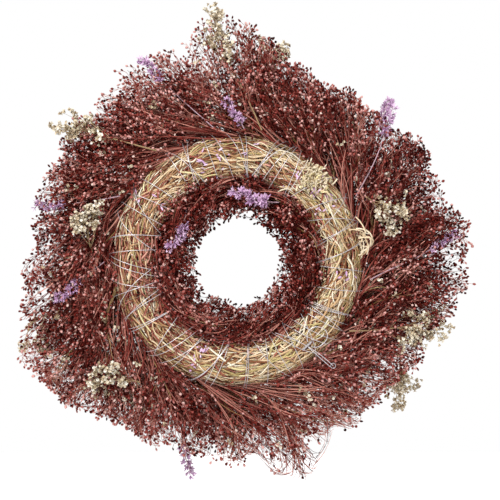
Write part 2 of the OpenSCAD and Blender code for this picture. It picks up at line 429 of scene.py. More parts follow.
class Stock:
    """The growing mesh of one piece, with each point's place on the swatch."""

    def __init__(self) -> None:
        self.points: list[Array] = []
        self.places: list[Array] = []
        self.quads: list[Array] = []
        self.tris: list[Array] = []
        self.count = 0

    def add(
        self,
        points: Array,
        places: Array,
        quads: Array | None = None,
        tris: Array | None = None,
    ) -> None:
        """Adds points and the faces between them.

        Args:
            points: Points (n, 3), lying flat.
            places: Places on the swatch (n, 2).
            quads: Four-cornered faces, counted from the first of these points.
            tris: Three-cornered faces, likewise.
        """
        if quads is not None and len(quads):
            self.quads.append(quads.reshape(-1, 4) + self.count)
        if tris is not None and len(tris):
            self.tris.append(tris.reshape(-1, 3) + self.count)
        self.points.append(points.reshape(-1, 3))
        self.places.append(places.reshape(-1, 2))
        self.count += points.size // 3

    @staticmethod
    def place(tone: Array, family: Array, along: Array, across: Array) -> Array:
        """Where a point lies on the swatch.

        Args:
            tone: The element's own tone, from 0 to 1.
            family: The row of the swatch, a whole number.
            along: How far along the element, from 0 to 1.
            across: Place across the element, from -1 to 1, which keeps its faces open on the map.

        Returns:
            Map coordinates (..., 2).
        """
        tone, family, along, across = np.broadcast_arrays(tone, family, along, across)
        u = 0.02 + 0.96 * np.clip(tone, 0, 1) + 0.004 * across
        v = (family + 0.06 + 0.88 * np.clip(along, 0, 1)) / SWATCH_ROWS
        return np.stack([u, v], -1)

    def tubes(
        self,
        paths: Array,
        radii: Array,
        tone: Array,
        family: Array,
        sides: int = 3,
        flat: float = 1.0,
        up: Array | None = None,
    ) -> None:
        """Adds round or flattened tubes along paths.

        Args:
            paths: Paths (n, k, 3).
            radii: Half widths, which broadcast to (n, k).
            tone: Tone of each tube, (n,).
            family: Swatch row of each tube, (n,) or one number.
            sides: Sides of a tube.
            flat: Thickness over width.
            up: Direction of the thin way, (n, k, 3), or None for any.
        """
        n, k = paths.shape[:2]
        if n == 0:
            return
        ahead = unit(np.gradient(paths, axis=1))
        if up is None:
            up = np.random.default_rng(n * 31 + k).normal(0, 1, (n, 1, 3))
        side = unit(np.cross(ahead, np.broadcast_to(up, ahead.shape)))
        lift = np.cross(side, ahead)
        a = 2 * math.pi * np.arange(sides) / sides
        radii = np.broadcast_to(radii, (n, k))[:, :, None, None]
        ring = np.cos(a)[None, None, :, None] * side[:, :, None]
        ring = ring + flat * np.sin(a)[None, None, :, None] * lift[:, :, None]
        points = paths[:, :, None] + radii * ring
        along = np.linspace(0, 1, k)[None, :, None]
        across = np.linspace(-1, 1, sides)[None, None, :]
        tone = np.broadcast_to(tone, (n,))[:, None, None]
        family = np.broadcast_to(family, (n,))[:, None, None]
        places = self.place(tone, family, along, np.broadcast_to(across, (n, k, sides)))
        first = (np.arange(n) * k * sides)[:, None, None]
        low = first + (np.arange(k - 1) * sides)[None, :, None] + np.arange(sides)[None, None]
        nxt = first + (np.arange(k - 1) * sides)[None, :, None] + (np.arange(sides) + 1)[None, None] % sides
        quads = np.stack([low, nxt, nxt + sides, low + sides], -1)
        self.add(points, places, quads=quads)

    def forms(
        self,
        form: Form,
        base: Array,
        ahead: Array,
        length: Array,
        width: Array,
        tone: Array,
        family: Array,
        rng: Rng,
        sides: int = 5,
        flat: float = 0.65,
    ) -> None:
        """Adds many copies of a small turned shape, each in its own direction.

        Args:
            form: Its outline.
            base: Where each starts, (n, 3).
            ahead: Which way each points, (n, 3).
            length: Length of each, (n,).
            width: Width of each, (n,).
            tone: Tone of each, (n,).
            family: Swatch row of each, (n,) or one number.
            rng: Source of the turn about its own axis.
            sides: Sides of the shape.
            flat: Thickness over width.
        """
        n = len(base)
        if n == 0:
            return
        side = square_to(ahead, rng.normal(0, 1, (n, 3)))
        lift = np.cross(ahead, side)
        a = 2 * math.pi * np.arange(sides) / sides
        along, across, rows = [], [], []
        for x, half in form.value:
            m = 1 if half == 0 else sides
            rows.append((sum(r[1] for r in rows), m))
            along.append(np.full(m, x))
            across.append(half * np.exp(1j * a) if m > 1 else np.zeros(1, complex))
        along, across = np.concatenate(along), np.concatenate(across)
        length, width = np.broadcast_to(length, (n,)), np.broadcast_to(width, (n,))
        points = base[:, None] + ahead[:, None] * (along[None, :, None] * length[:, None, None])
        points = points + side[:, None] * (across.real[None, :, None] * width[:, None, None])
        points = points + lift[:, None] * (across.imag[None, :, None] * width[:, None, None] * flat)
        tone = np.broadcast_to(tone, (n,))[:, None]
        family = np.broadcast_to(family, (n,))[:, None]
        spread = np.broadcast_to(2 * across.real[None], (n, len(along)))
        places = self.place(tone, family, along[None], spread)
        quads, tris = [], []
        j = np.arange(sides)
        j2 = (j + 1) % sides
        for (low, m), (high, m2) in zip(rows, rows[1:]):
            if m == 1:
                tris.append(np.stack([np.full(sides, low), high + j2, high + j], -1))
            elif m2 == 1:
                tris.append(np.stack([low + j, low + j2, np.full(sides, high)], -1))
            else:
                quads.append(np.stack([low + j, low + j2, high + j2, high + j], -1))
        first = (np.arange(n) * len(along))[:, None, None]
        self.add(
            points,
            places,
            quads=(first + np.concatenate(quads)[None]) if quads else None,
            tris=(first + np.concatenate(tris)[None]) if tris else None,
        )

    def petals(
        self,
        base: Array,
        ahead: Array,
        face: Array,
        length: Array,
        width: Array,
        tone: Array,
        family: Array,
        curl: Array,
    ) -> None:
        """Adds thin petals that widen from the base and curl towards their face.

        Args:
            base: Where each starts, (n, 3).
            ahead: Which way each points at its base, (n, 3).
            face: Direction that its upper face looks, (n, 3).
            length: Length of each, (n,).
            width: Width of each, (n,).
            tone: Tone of each, (n,).
            family: Swatch row of each, (n,) or one number.
            curl: How far its tip rises over its length, (n,) or one number.
        """
        n = len(base)
        side = unit(np.cross(ahead, face))
        face = np.cross(side, ahead)
        at = np.array([0.0, 0.35, 0.7, 1.0])
        half = np.array([0.10, 0.42, 0.5, 0.16])
        length, width = np.broadcast_to(length, (n,)), np.broadcast_to(width, (n,))
        curl = np.broadcast_to(curl, (n,))
        mid = base[:, None] + ahead[:, None] * (at[None, :, None] * length[:, None, None])
        mid = mid + face[:, None] * ((at**2)[None, :, None] * (curl * length)[:, None, None])
        step = side[:, None] * (half[None, :, None] * width[:, None, None])
        fold = face[:, None] * (half[None, :, None] * width[:, None, None]) * 0.35
        points = np.stack([mid - step + fold, mid, mid + step + fold], 2)
        tone = np.broadcast_to(tone, (n,))[:, None, None]
        family = np.broadcast_to(family, (n,))[:, None, None]
        across = np.broadcast_to(np.array([-1.0, 0, 1])[None, None], (n, 4, 3))
        places = self.place(tone, family, at[None, :, None], across)
        first = (np.arange(n) * 12)[:, None, None]
        low = first + (np.arange(3) * 3)[None, :, None] + np.arange(2)[None, None]
        self.add(points, places, quads=np.stack([low, low + 1, low + 4, low + 3], -1))

    def to_piece(self, name: str, material: Material, slot: str, *nodes: str) -> Piece:
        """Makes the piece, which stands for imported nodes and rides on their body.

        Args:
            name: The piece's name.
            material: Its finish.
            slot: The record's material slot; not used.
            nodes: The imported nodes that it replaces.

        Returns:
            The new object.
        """
        points = PLAN.stand_up(np.concatenate(self.points)).astype(np.float32)
        places = np.concatenate(self.places).astype(np.float32)
        quads = np.concatenate(self.quads) if self.quads else np.zeros((0, 4), int)
        tris = np.concatenate(self.tris) if self.tris else np.zeros((0, 3), int)
        corners = np.concatenate([quads.ravel(), tris.ravel()]).astype(np.int32)
        starts = np.concatenate([4 * np.arange(len(quads)), 4 * len(quads) + 3 * np.arange(len(tris))])
        mesh = bpy.data.meshes.new(name)
        mesh.vertices.add(len(points))
        mesh.vertices.foreach_set("co", points.ravel())
        mesh.loops.add(len(corners))
        mesh.loops.foreach_set("vertex_index", corners)
        mesh.polygons.add(len(starts))
        mesh.polygons.foreach_set("loop_start", starts.astype(np.int32))
        mesh.polygons.foreach_set("use_smooth", np.ones(len(starts), bool))
        layer = mesh.uv_layers.new(name=SWATCH_MAP)
        layer.uv.foreach_set("vector", places[corners].ravel())
        mesh.update(calc_edges=True)
        mesh.materials.append(material)
        piece = bpy.data.objects.new(name, mesh)
        bpy.context.scene.collection.objects.link(piece)
        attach(piece, "root")
        if nodes:
            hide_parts(*nodes)
        log.info("%s: %d faces", name, len(starts))
        return piece


# ---------------------------------------------------------------------------- finishes


def linear(*display: int) -> tuple[float, ...]:
    """A display colour's three parts from 0 to 255, as the light values and alpha that shaders use."""
    parts = [value / 255 for value in display]
    return *(c / 12.92 if c <= 0.04045 else ((c + 0.055) / 1.055) ** 2.4 for c in parts), 1.0


def maths(tree: Tree, operation: str, *values) -> Socket:
    """Adds a Math node.

    Args:
        tree: Where it goes.
        operation: Its operation.
        values: Sockets or numbers for its inputs.

    Returns:
        The output socket.
    """
    node = tree.nodes.new("ShaderNodeMath")
    node.operation = operation
    for socket, value in zip(node.inputs, values):
        if isinstance(value, Socket):
            tree.links.new(value, socket)
        else:
            socket.default_value = value
    return node.outputs[0]


def between(tree: Tree, factor, low, high, kind: str = "FLOAT") -> Socket:
    """Adds a Mix node between two sockets.

    Args:
        tree: Where it goes.
        factor: Socket of the share of the second one.
        low: The first socket.
        high: The second socket.
        kind: What it mixes, numbers or colours.

    Returns:
        The output socket.
    """
    mix = tree.nodes.new("ShaderNodeMix")
    mix.data_type = kind
    for name, source in (("Factor", factor), ("A", low), ("B", high)):
        tree.links.new(source, mix.inputs[name])
    return mix.outputs["Result"]


@dataclass(frozen=True)
class Ramp:
    """One row of a swatch: display colours from the darkest tone to the lightest, with painted shade
    towards each element's base.
    """

    stops: tuple[tuple[float, tuple[int, int, int]], ...]
    # Painted shade: the colour's scale at an element's base and at its tip, darker at the base where it
    # sits deeper in the wreath.
    painted_base_shade: float = 0.8
    painted_tip_shade: float = 1.0


class SharedGroup:
    """A node group that all finishes share, made once."""

    NAME = ""
    INPUTS: dict[str, str] = {}
    OUTPUTS: dict[str, str] = {}

    @classmethod
    def build(cls) -> Tree:
        """Makes the group, unless it's already made.

        Returns:
            The group.
        """
        if cls.NAME in bpy.data.node_groups:
            return bpy.data.node_groups[cls.NAME]
        group = bpy.data.node_groups.new(cls.NAME, "ShaderNodeTree")
        for way, sockets in (("INPUT", cls.INPUTS), ("OUTPUT", cls.OUTPUTS)):
            for name, kind in sockets.items():
                group.interface.new_socket(name=name, in_out=way, socket_type="NodeSocket" + kind)
        inputs, outputs = group.nodes.new("NodeGroupInput"), group.nodes.new("NodeGroupOutput")
        for name, source in cls.wire(group, inputs.outputs).items():
            group.links.new(source, outputs.inputs[name])
        return group

    @classmethod
    def wire(cls, group: Tree, inputs: Sockets) -> dict[str, Socket]:
        """Adds the group's own nodes and returns the socket that feeds each output."""
        raise NotImplementedError


class SwatchGroup(SharedGroup):
    """The node group that reads an element's tone, row and place along it from the swatch map."""

    NAME = "WreathSwatch"
    INPUTS = {"Rows": "Float"}
    OUTPUTS = {"Tone": "Float", "Row": "Float", "Along": "Float"}

    @classmethod
    def wire(cls, group: Tree, inputs: Sockets) -> dict[str, Socket]:
        """Splits the map's place: tone across it, and a row and the place in it up the map.

        Args:
            group: The group.
            inputs: Its inputs.

        Returns:
            The socket that feeds each output.
        """
        where = group.nodes.new("ShaderNodeUVMap")
        where.uv_map = SWATCH_MAP
        split = group.nodes.new("ShaderNodeSeparateXYZ")
        group.links.new(where.outputs["UV"], split.inputs[0])
        scaled = maths(group, "MULTIPLY", split.outputs["Y"], inputs["Rows"])
        row = maths(group, "FLOOR", scaled)
        return {"Tone": split.outputs["X"], "Row": row, "Along": maths(group, "SUBTRACT", scaled, row)}


class PaintedShadeGroup(SharedGroup):
    """The node group that paints shade along an element: the row's colour, darker towards its base."""

    NAME = "WreathPaintedShade"
    INPUTS = {"Colour": "Color", "Along": "Float", "At base": "Float", "At tip": "Float"}
    OUTPUTS = {"Colour": "Color"}

    @classmethod
    def wire(cls, group: Tree, inputs: Sockets) -> dict[str, Socket]:
        """Scales the colour by a factor that runs from the base's to the tip's: painted shade, darker at
        the base.

        Args:
            group: The group.
            inputs: Its inputs.

        Returns:
            The socket that feeds each output.
        """
        scale = group.nodes.new("ShaderNodeVectorMath")
        scale.operation = "SCALE"
        group.links.new(inputs["Colour"], scale.inputs[0])
        factor = between(group, inputs["Along"], inputs["At base"], inputs["At tip"])
        group.links.new(factor, scale.inputs["Scale"])
        return {"Colour": scale.outputs[0]}


class GrainGroup(SharedGroup):
    """The node group for the fine lengthwise grain of stalks, pods and wire."""

    NAME = "WreathGrain"
    INPUTS = dict.fromkeys(("Tone", "Along", "Ribs", "Knots", "Smoothest", "Roughest"), "Float")
    OUTPUTS = {"Roughness": "Float", "Height": "Float"}
    DETAIL = 3.0

    @classmethod
    def wire(cls, group: Tree, inputs: Sockets) -> dict[str, Socket]:
        """Lays noise that is finer across an element than along it.

        Args:
            group: The group.
            inputs: Its inputs.

        Returns:
            The socket that feeds each output.
        """
        place = group.nodes.new("ShaderNodeCombineXYZ")
        group.links.new(maths(group, "MULTIPLY", inputs["Tone"], inputs["Ribs"]), place.inputs["X"])
        group.links.new(maths(group, "MULTIPLY", inputs["Along"], inputs["Knots"]), place.inputs["Y"])
        noise = group.nodes.new("ShaderNodeTexNoise")
        noise.inputs["Scale"].default_value = 1.0
        noise.inputs["Detail"].default_value = cls.DETAIL
        group.links.new(place.outputs[0], noise.inputs["Vector"])
        height = noise.outputs["Fac"]
        rough = between(group, height, inputs["Smoothest"], inputs["Roughest"])
        return {"Roughness": rough, "Height": height}


@dataclass(frozen=True)
class Grain:
    """How a finish's surface varies: its ribs and knots, its range of roughness, and its relief."""

    ribs: float
    knots: float
    smoothest: float
    roughest: float
    relief: float
    depth: float = 0.3 * MM

    def wire(self, tree: Tree, swatch: Node) -> None:
        """Feeds the finish's roughness and relief from the grain.

        Args:
            tree: The material's nodes, which hold its shader.
            swatch: The node that gives an element's tone and the place along it.
        """
        shader = tree.nodes["Principled BSDF"]
        grain = tree.nodes.new("ShaderNodeGroup")
        grain.node_tree = GrainGroup.build()
        for socket, value in (("Ribs", self.ribs), ("Knots", self.knots),
                              ("Smoothest", self.smoothest), ("Roughest", self.roughest)):
            grain.inputs[socket].default_value = value
        for socket in ("Tone", "Along"):
            tree.links.new(swatch.outputs[socket], grain.inputs[socket])
        bump = tree.nodes.new("ShaderNodeBump")
        bump.inputs["Strength"].default_value = self.relief
        bump.inputs["Distance"].default_value = self.depth
        tree.links.new(grain.outputs["Height"], bump.inputs["Height"])
        tree.links.new(grain.outputs["Roughness"], shader.inputs["Roughness"])
        tree.links.new(bump.outputs["Normal"], shader.inputs["Normal"])


@dataclass(frozen=True)
class Finish:
    """A dry plant or metal finish, whose colour comes from the rows of its swatch."""

    name: str
    rows: tuple[Ramp, ...]
    grain: Grain
    metallic: float = 0.0
    sheen: float = 0.0
    specular: float = 0.35

    def build(self) -> Material:
        """Makes the material.

        Returns:
            The new material, with one colour ramp for each row, picked by the swatch's row.
        """
        material = bpy.data.materials.new(self.name)
        material.use_nodes = True
        tree = material.node_tree
        shader = tree.nodes["Principled BSDF"]
        swatch = tree.nodes.new("ShaderNodeGroup")
        swatch.node_tree = SwatchGroup.build()
        swatch.inputs["Rows"].default_value = SWATCH_ROWS
        colour = self.row_colour(tree, swatch, self.rows[0])
        for index, row in enumerate(self.rows[1:], 1):
            pick = maths(tree, "GREATER_THAN", swatch.outputs["Row"], index - 0.5)
            colour = between(tree, pick, colour, self.row_colour(tree, swatch, row), "RGBA")
        tree.links.new(colour, shader.inputs["Base Color"])
        self.grain.wire(tree, swatch)
        shader.inputs["Metallic"].default_value = self.metallic
        shader.inputs["Sheen Weight"].default_value = self.sheen
        shader.inputs["Specular IOR Level"].default_value = self.specular
        return material

    @staticmethod
    def row_colour(tree: Tree, swatch: Node, row: Ramp) -> Socket:
        """Adds one row's colour ramp, with painted shade that darkens it towards the element's base.

        Args:
            tree: The material's nodes.
            swatch: The node that gives an element's tone and the place along it.
            row: The row.

        Returns:
            The colour's socket.
        """
        ramp = tree.nodes.new("ShaderNodeValToRGB")
        stops = ramp.color_ramp.elements
        while len(stops) < len(row.stops):
            stops.new(1.0)
        for stop, (at, shade) in zip(stops, row.stops):
            stop.position = at
            stop.color = linear(*shade)
        # Painted shade along the element, darker towards its base.
        shade = tree.nodes.new("ShaderNodeGroup")
        shade.node_tree = PaintedShadeGroup.build()
        shade.inputs["At base"].default_value = row.painted_base_shade
        shade.inputs["At tip"].default_value = row.painted_tip_shade
        tree.links.new(swatch.outputs["Tone"], ramp.inputs[0])
        tree.links.new(ramp.outputs["Color"], shade.inputs["Colour"])
        tree.links.new(swatch.outputs["Along"], shade.inputs["Along"])
        return shade.outputs["Colour"]


class Plant(IntEnum):
    """Rows of the burgundy swatch."""

    POD = 0
    STEM = 1
    DUSTY = 2
    GREEN = 3


class Stalk(IntEnum):
    """Rows of the straw swatch."""

    PALE = 0
    DYED = 1
    GREENISH = 2
    # Painted shade: the core's row, near black, that shows in the gaps between the stalks.
    PAINTED_SHADE = 3


class Flower(IntEnum):
    """Rows of the cream and lilac swatches."""

    PETAL = 0
    CALYX = 1
    STEM = 2
    FADED = 3


# In every Ramp below, the number after the stops, or 0.8 where none is given, is the painted shade at an
# element's base: its colour is scaled down there, as if shade fell deeper in the wreath.
BURGUNDY = Finish(
    "Burgundy",
    (
        Ramp(
            ((0.0, (46, 4, 2)), (0.4, (108, 34, 26)), (0.72, (166, 84, 76)), (1.0, (232, 176, 168))),
            painted_base_shade=0.62,
        ),
        Ramp(((0.0, (66, 15, 11)), (0.5, (146, 62, 54)), (1.0, (232, 166, 148))), 0.62),
        Ramp(((0.0, (170, 108, 104)), (0.6, (206, 158, 152)), (1.0, (234, 208, 196))), 0.8),
        Ramp(((0.0, (98, 66, 36)), (0.5, (146, 112, 70)), (1.0, (190, 160, 116))), 0.8),
    ),
    Grain(ribs=260, knots=7, smoothest=0.45, roughest=0.8, relief=0.35),
    specular=0.06,
)
STRAW = Finish(
    "Straw",
    (
        Ramp(
            ((0.0, (122, 68, 38)), (0.4, (204, 162, 116)), (0.75, (240, 216, 178)), (1.0, (252, 242, 218))),
            painted_base_shade=0.85,
        ),
        Ramp(((0.0, (108, 38, 28)), (0.5, (166, 92, 74)), (1.0, (216, 158, 138))), 0.85),
        Ramp(((0.0, (150, 126, 76)), (0.5, (206, 186, 128)), (1.0, (240, 226, 178))), 0.9),
        # Painted shade: the core's near-black row, for the shade deep between the stalks.
        Ramp(((0.0, (36, 9, 3)), (1.0, (64, 24, 11)))),
    ),
    Grain(ribs=420, knots=9, smoothest=0.35, roughest=0.7, relief=0.45),
    specular=0.25,
)
WIRE = Finish(
    "Wire",
    (Ramp(((0.0, (176, 170, 174)), (1.0, (238, 234, 238))), 0.95),),
    Grain(ribs=40, knots=60, smoothest=0.25, roughest=0.5, relief=0.15, depth=0.1 * MM),
    metallic=0.6,
)
THREAD = Finish(
    "Thread",
    (Ramp(((0.0, (140, 118, 96)), (1.0, (196, 176, 150))), 0.95),),
    Grain(ribs=60, knots=90, smoothest=0.7, roughest=0.95, relief=0.4, depth=0.1 * MM),
)
CREAM = Finish(
    "Cream",
    (
        Ramp(((0.0, (206, 188, 158)), (0.5, (236, 224, 202)), (1.0, (252, 248, 238))), 0.85),
        Ramp(((0.0, (158, 138, 96)), (0.5, (196, 178, 136)), (1.0, (222, 208, 170))), 0.9),
        Ramp(((0.0, (120, 96, 64)), (0.5, (162, 134, 96)), (1.0, (194, 168, 128))), 0.85),
        Ramp(((0.0, (156, 132, 106)), (1.0, (210, 190, 160)))),
    ),
    Grain(ribs=200, knots=5, smoothest=0.6, roughest=0.9, relief=0.4),
    sheen=0.1,
)
LILAC = Finish(
    "Lilac",
    (
        Ramp(((0.0, (172, 126, 172)), (0.5, (208, 168, 206)), (1.0, (232, 204, 226))), 0.9),
        Ramp(((0.0, (128, 86, 128)), (1.0, (176, 136, 172)))),
        Ramp(((0.0, (150, 112, 130)), (0.5, (190, 152, 166)), (1.0, (214, 184, 192)))),
        Ramp(((0.0, (150, 110, 130)), (1.0, (196, 160, 172)))),
    ),
    Grain(ribs=200, knots=5, smoothest=0.55, roughest=0.85, relief=0.4),
    sheen=0.1,
)


# ---------------------------------------------------------------------------- flower bunches


@dataclass(frozen=True)
class Habit:
    """How a bunch branches, with lengths in metres."""

    stems: int
    shoots: int
    sprays: int
    pods: int
    stem_r: float = 0.52 * MM
    shoot_r: float = 0.36 * MM
    spray_r: float = 0.23 * MM
    stalk_r: float = 0.15 * MM
    shoot_len: float = 42 * MM
    spray_len: float = 24 * MM
    stalk_len: float = 4.4 * MM
    pod_len: float = 3.1 * MM
    pod_w: float = 2.5 * MM


class Bunch:
    """A bunch of burgundy seed heads on thin branching stems, tied under the wire."""

    habit = Habit(stems=0, shoots=0, sprays=0, pods=0)
    first_seed = 0
    first_tie = 0.0  # angle of the first tie, in degrees
    tie_shift = 0.0  # how far the ties are moved on, as a share of the way to the next
    cover_turn = math.radians(175)  # where the inner flowers lie furthest over the straw
    cover_least = 5 * MM
    cover_more = 8 * MM
    green_share = 0.06
    dusty_share = 0.08
    clumps = 7
    thin_edge = 22 * MM  # how deep the wispy edge of the outline is
    edge_gaps = 0.4  # share of the seed heads that is left out at the very edge
    straw_gap = 1.0 * MM

    def __init__(self, index: int, count: int, solid: Solid, material: Material) -> None:
        """Takes the bunch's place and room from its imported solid.

        Args:
            index: Its number round the ring, from 0.
            count: Number of such bunches.
            solid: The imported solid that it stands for.
            material: Its finish.
        """
        self.rng = np.random.default_rng(self.first_seed + index)
        self.material = material
        self.tie_turn = math.radians(360 / count * (index + self.tie_shift) + self.first_tie)
        self.inside, self.reach = solid.inside, solid.reach
        self.low, self.high = solid.heights
        self.bare = np.zeros(self.habit.stems)  # share of each stem, from its tie, that carries no shoots

    def even_fan(self) -> Array:
        """Each stem's share of the way across the bunch, evenly spread but not in step."""
        n = self.habit.stems
        return (np.arange(n) + self.rng.uniform(0.1, 0.9, n)) / n

    def main_stems(self) -> Array:
        """Paths of the bunch's main stems; each layer of the wreath lays them its own way."""
        raise NotImplementedError

    def room(self, points: Array, r: Array) -> tuple[Array, Array]:
        """The space that the bunch has: where points may lie, as distances to the axis and heights."""
        raise NotImplementedError

    def settle(self, points: Array) -> Array:
        """Presses grown points into the bunch's room, clear of the straw.

        Args:
            points: Grown points.

        Returns:
            The points where they settle.
        """
        r = np.maximum(np.hypot(points[..., 0], points[..., 1]), 1e-6)
        wanted, z = self.room(points, r)
        flat = points[..., :2] * (wanted / r)[..., None]
        return PLAN.clear_straw(np.concatenate([flat, z[..., None]], -1), self.straw_gap)

    def shade(self, turn: Array) -> Array:
        """The usual tone of the flowers at an angle in radians."""
        return 0.46 + rise(PALER, turn)

    def clumped(self, low: float, high: float) -> Array:
        """A value for each stem between low and high, nearly the same for the stems of one clump."""
        each = self.rng.uniform(low, high, self.clumps)[np.arange(self.habit.stems) % self.clumps]
        return each + self.rng.normal(0, 0.06 * (high - low), self.habit.stems)

    def keep(self, points: Array) -> Array:
        """Picks the seed heads that stay, so that the straw's back is left free of them.

        Args:
            points: The seed heads' places.

        Returns:
            True for each one that stays.
        """
        r = np.hypot(points[:, 0], points[:, 1])
        turn = np.arctan2(points[:, 1], points[:, 0])
        covered = self.cover_least + self.cover_more * np.maximum(np.cos(turn - self.cover_turn), 0)
        back = (points[:, 2] > 0) & (r > PLAN.line_r - PLAN.straw_r + covered)
        back = back & (r < PLAN.line_r + PLAN.straw_r - 2 * MM)
        return (PLAN.depth_in(points) > PLAN.straw_r + 0.6 * MM) & ~back

    def grow(self, name: str) -> Piece:
        """Grows the bunch.

        Args:
            name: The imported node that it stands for, which is also the piece's name stem.

        Returns:
            The piece.
        """
        rng, habit = self.rng, self.habit
        stock = Stock()
        stems = self.settle(self.main_stems())
        n = len(stems)
        green = rng.random(n) < self.green_share
        taper = np.linspace(1, 0.5, stems.shape[1])[None]
        stock.tubes(
            stems, taper * habit.stem_r * rng.uniform(0.6, 1.35, (n, 1)), rng.uniform(0.3, 1.0, n),
            np.where(green, Plant.GREEN, Plant.STEM), sides=5,
        )
        shoots, parent = self.shoots(stems)
        turn = np.arctan2(shoots[:, -1, 1], shoots[:, -1, 0])
        tone = varied(rng, self.shade(turn), 0.28, len(shoots))
        family = np.where(green[parent], Plant.GREEN, Plant.STEM)
        stock.tubes(shoots, np.linspace(1, 0.6, shoots.shape[1])[None] * habit.shoot_r, tone, family)
        sprays, parent = self.sprays(shoots)
        tone = varied(rng, tone[parent], 0.15, len(sprays))
        stock.tubes(sprays, np.linspace(1, 0.65, sprays.shape[1])[None] * habit.spray_r, tone, Plant.STEM)
        self.seed_heads(stock, sprays, tone)
        return stock.to_piece(name + "_heads", self.material, "burgundy", name)

    def shoots(self, stems: Array) -> tuple[Array, Array]:
        """Grows side shoots along the outer part of the stems.

        Args:
            stems: The stems' paths.

        Returns:
            The shoots' paths and the stem that each grows from.
        """
        rng, habit = self.rng, self.habit
        parent = np.repeat(np.arange(len(stems)), habit.shoots)
        m = len(parent)
        first = np.maximum(self.bare[parent], 0.12)
        at = first + (0.98 - first) * rng.random(m)
        length = habit.shoot_len * rng.uniform(0.5, 1.15, m) * (1.2 - 0.6 * at)
        grown = branch(stems, parent, at, rng.uniform(0.25, 0.8, m), length, 0.75, 7, rng)
        return self.settle(sway(grown, rng, 1.2 * MM)), parent

    def sprays(self, shoots: Array) -> tuple[Array, Array]:
        """Grows fine sprays along the shoots, clear of the straw.

        Args:
            shoots: The shoots' paths.

        Returns:
            The sprays' paths and the shoot that each grows from.
        """
        rng, habit = self.rng, self.habit
        parent = np.repeat(np.arange(len(shoots)), habit.sprays)
        m = len(parent)
        length = habit.spray_len * rng.uniform(0.55, 1.3, m)
        at = rng.uniform(0.35, 1.0, m)
        grown = branch(shoots, parent, at, rng.uniform(0.25, 0.75, m), length, 0.6, 5, rng)
        grown = self.settle(sway(grown, rng, 0.6 * MM))
        shown = self.keep(grown[:, 2])
        return grown[shown], parent[shown]

    def seed_heads(self, stock: Stock, sprays: Array, spray_tone: Array) -> None:
        """Sets seed pods on short stalks along the sprays.

        Args:
            stock: Where they go.
            sprays: The sprays' paths.
            spray_tone: The sprays' tones.
        """
        rng, habit = self.rng, self.habit
        m = len(sprays)
        parent = np.repeat(np.arange(m), habit.pods)
        rank = np.tile(np.arange(habit.pods), m)
        at = 0.3 + 0.7 * (rank + rng.uniform(0.2, 0.8, len(rank))) / habit.pods
        base, ahead = along_paths(sprays, parent, at)
        side = square_to(ahead, rng.normal(0, 1, base.shape))
        lean = rng.uniform(0.6, 1.15, len(at))[:, None] * (1.15 - 0.5 * at)[:, None]
        out = unit(np.cos(lean) * ahead + np.sin(lean) * side)
        reach = habit.stalk_len * rng.uniform(0.6, 1.25, len(at)) * (1.15 - 0.35 * at)
        tip = base + out * reach[:, None]
        turn = np.arctan2(tip[:, 1], tip[:, 0])
        edge = (np.hypot(tip[:, 0], tip[:, 1]) - OUTLINE.at(turn)) / self.thin_edge + 1
        sparse = rise(SPARSER, turn) + self.edge_gaps * np.clip(edge, 0, 1)
        shown = self.keep(tip) & (rng.random(len(tip)) > sparse)
        base, tip, out, reach, parent = base[shown], tip[shown], out[shown], reach[shown], parent[shown]
        n = len(base)
        tone = varied(rng, spray_tone[parent], 0.24, n)
        family = np.where(rng.random(n) < self.dusty_share, Plant.DUSTY, Plant.POD)
        stock.tubes(np.stack([base, tip], 1), habit.stalk_r, tone, Plant.STEM)
        stock.forms(
            Form.POD, tip, unit(out + rng.normal(0, 0.25, out.shape)),
            habit.pod_len * rng.uniform(0.75, 1.2, n), habit.pod_w * rng.uniform(0.75, 1.2, n),
            tone, family, rng,
        )


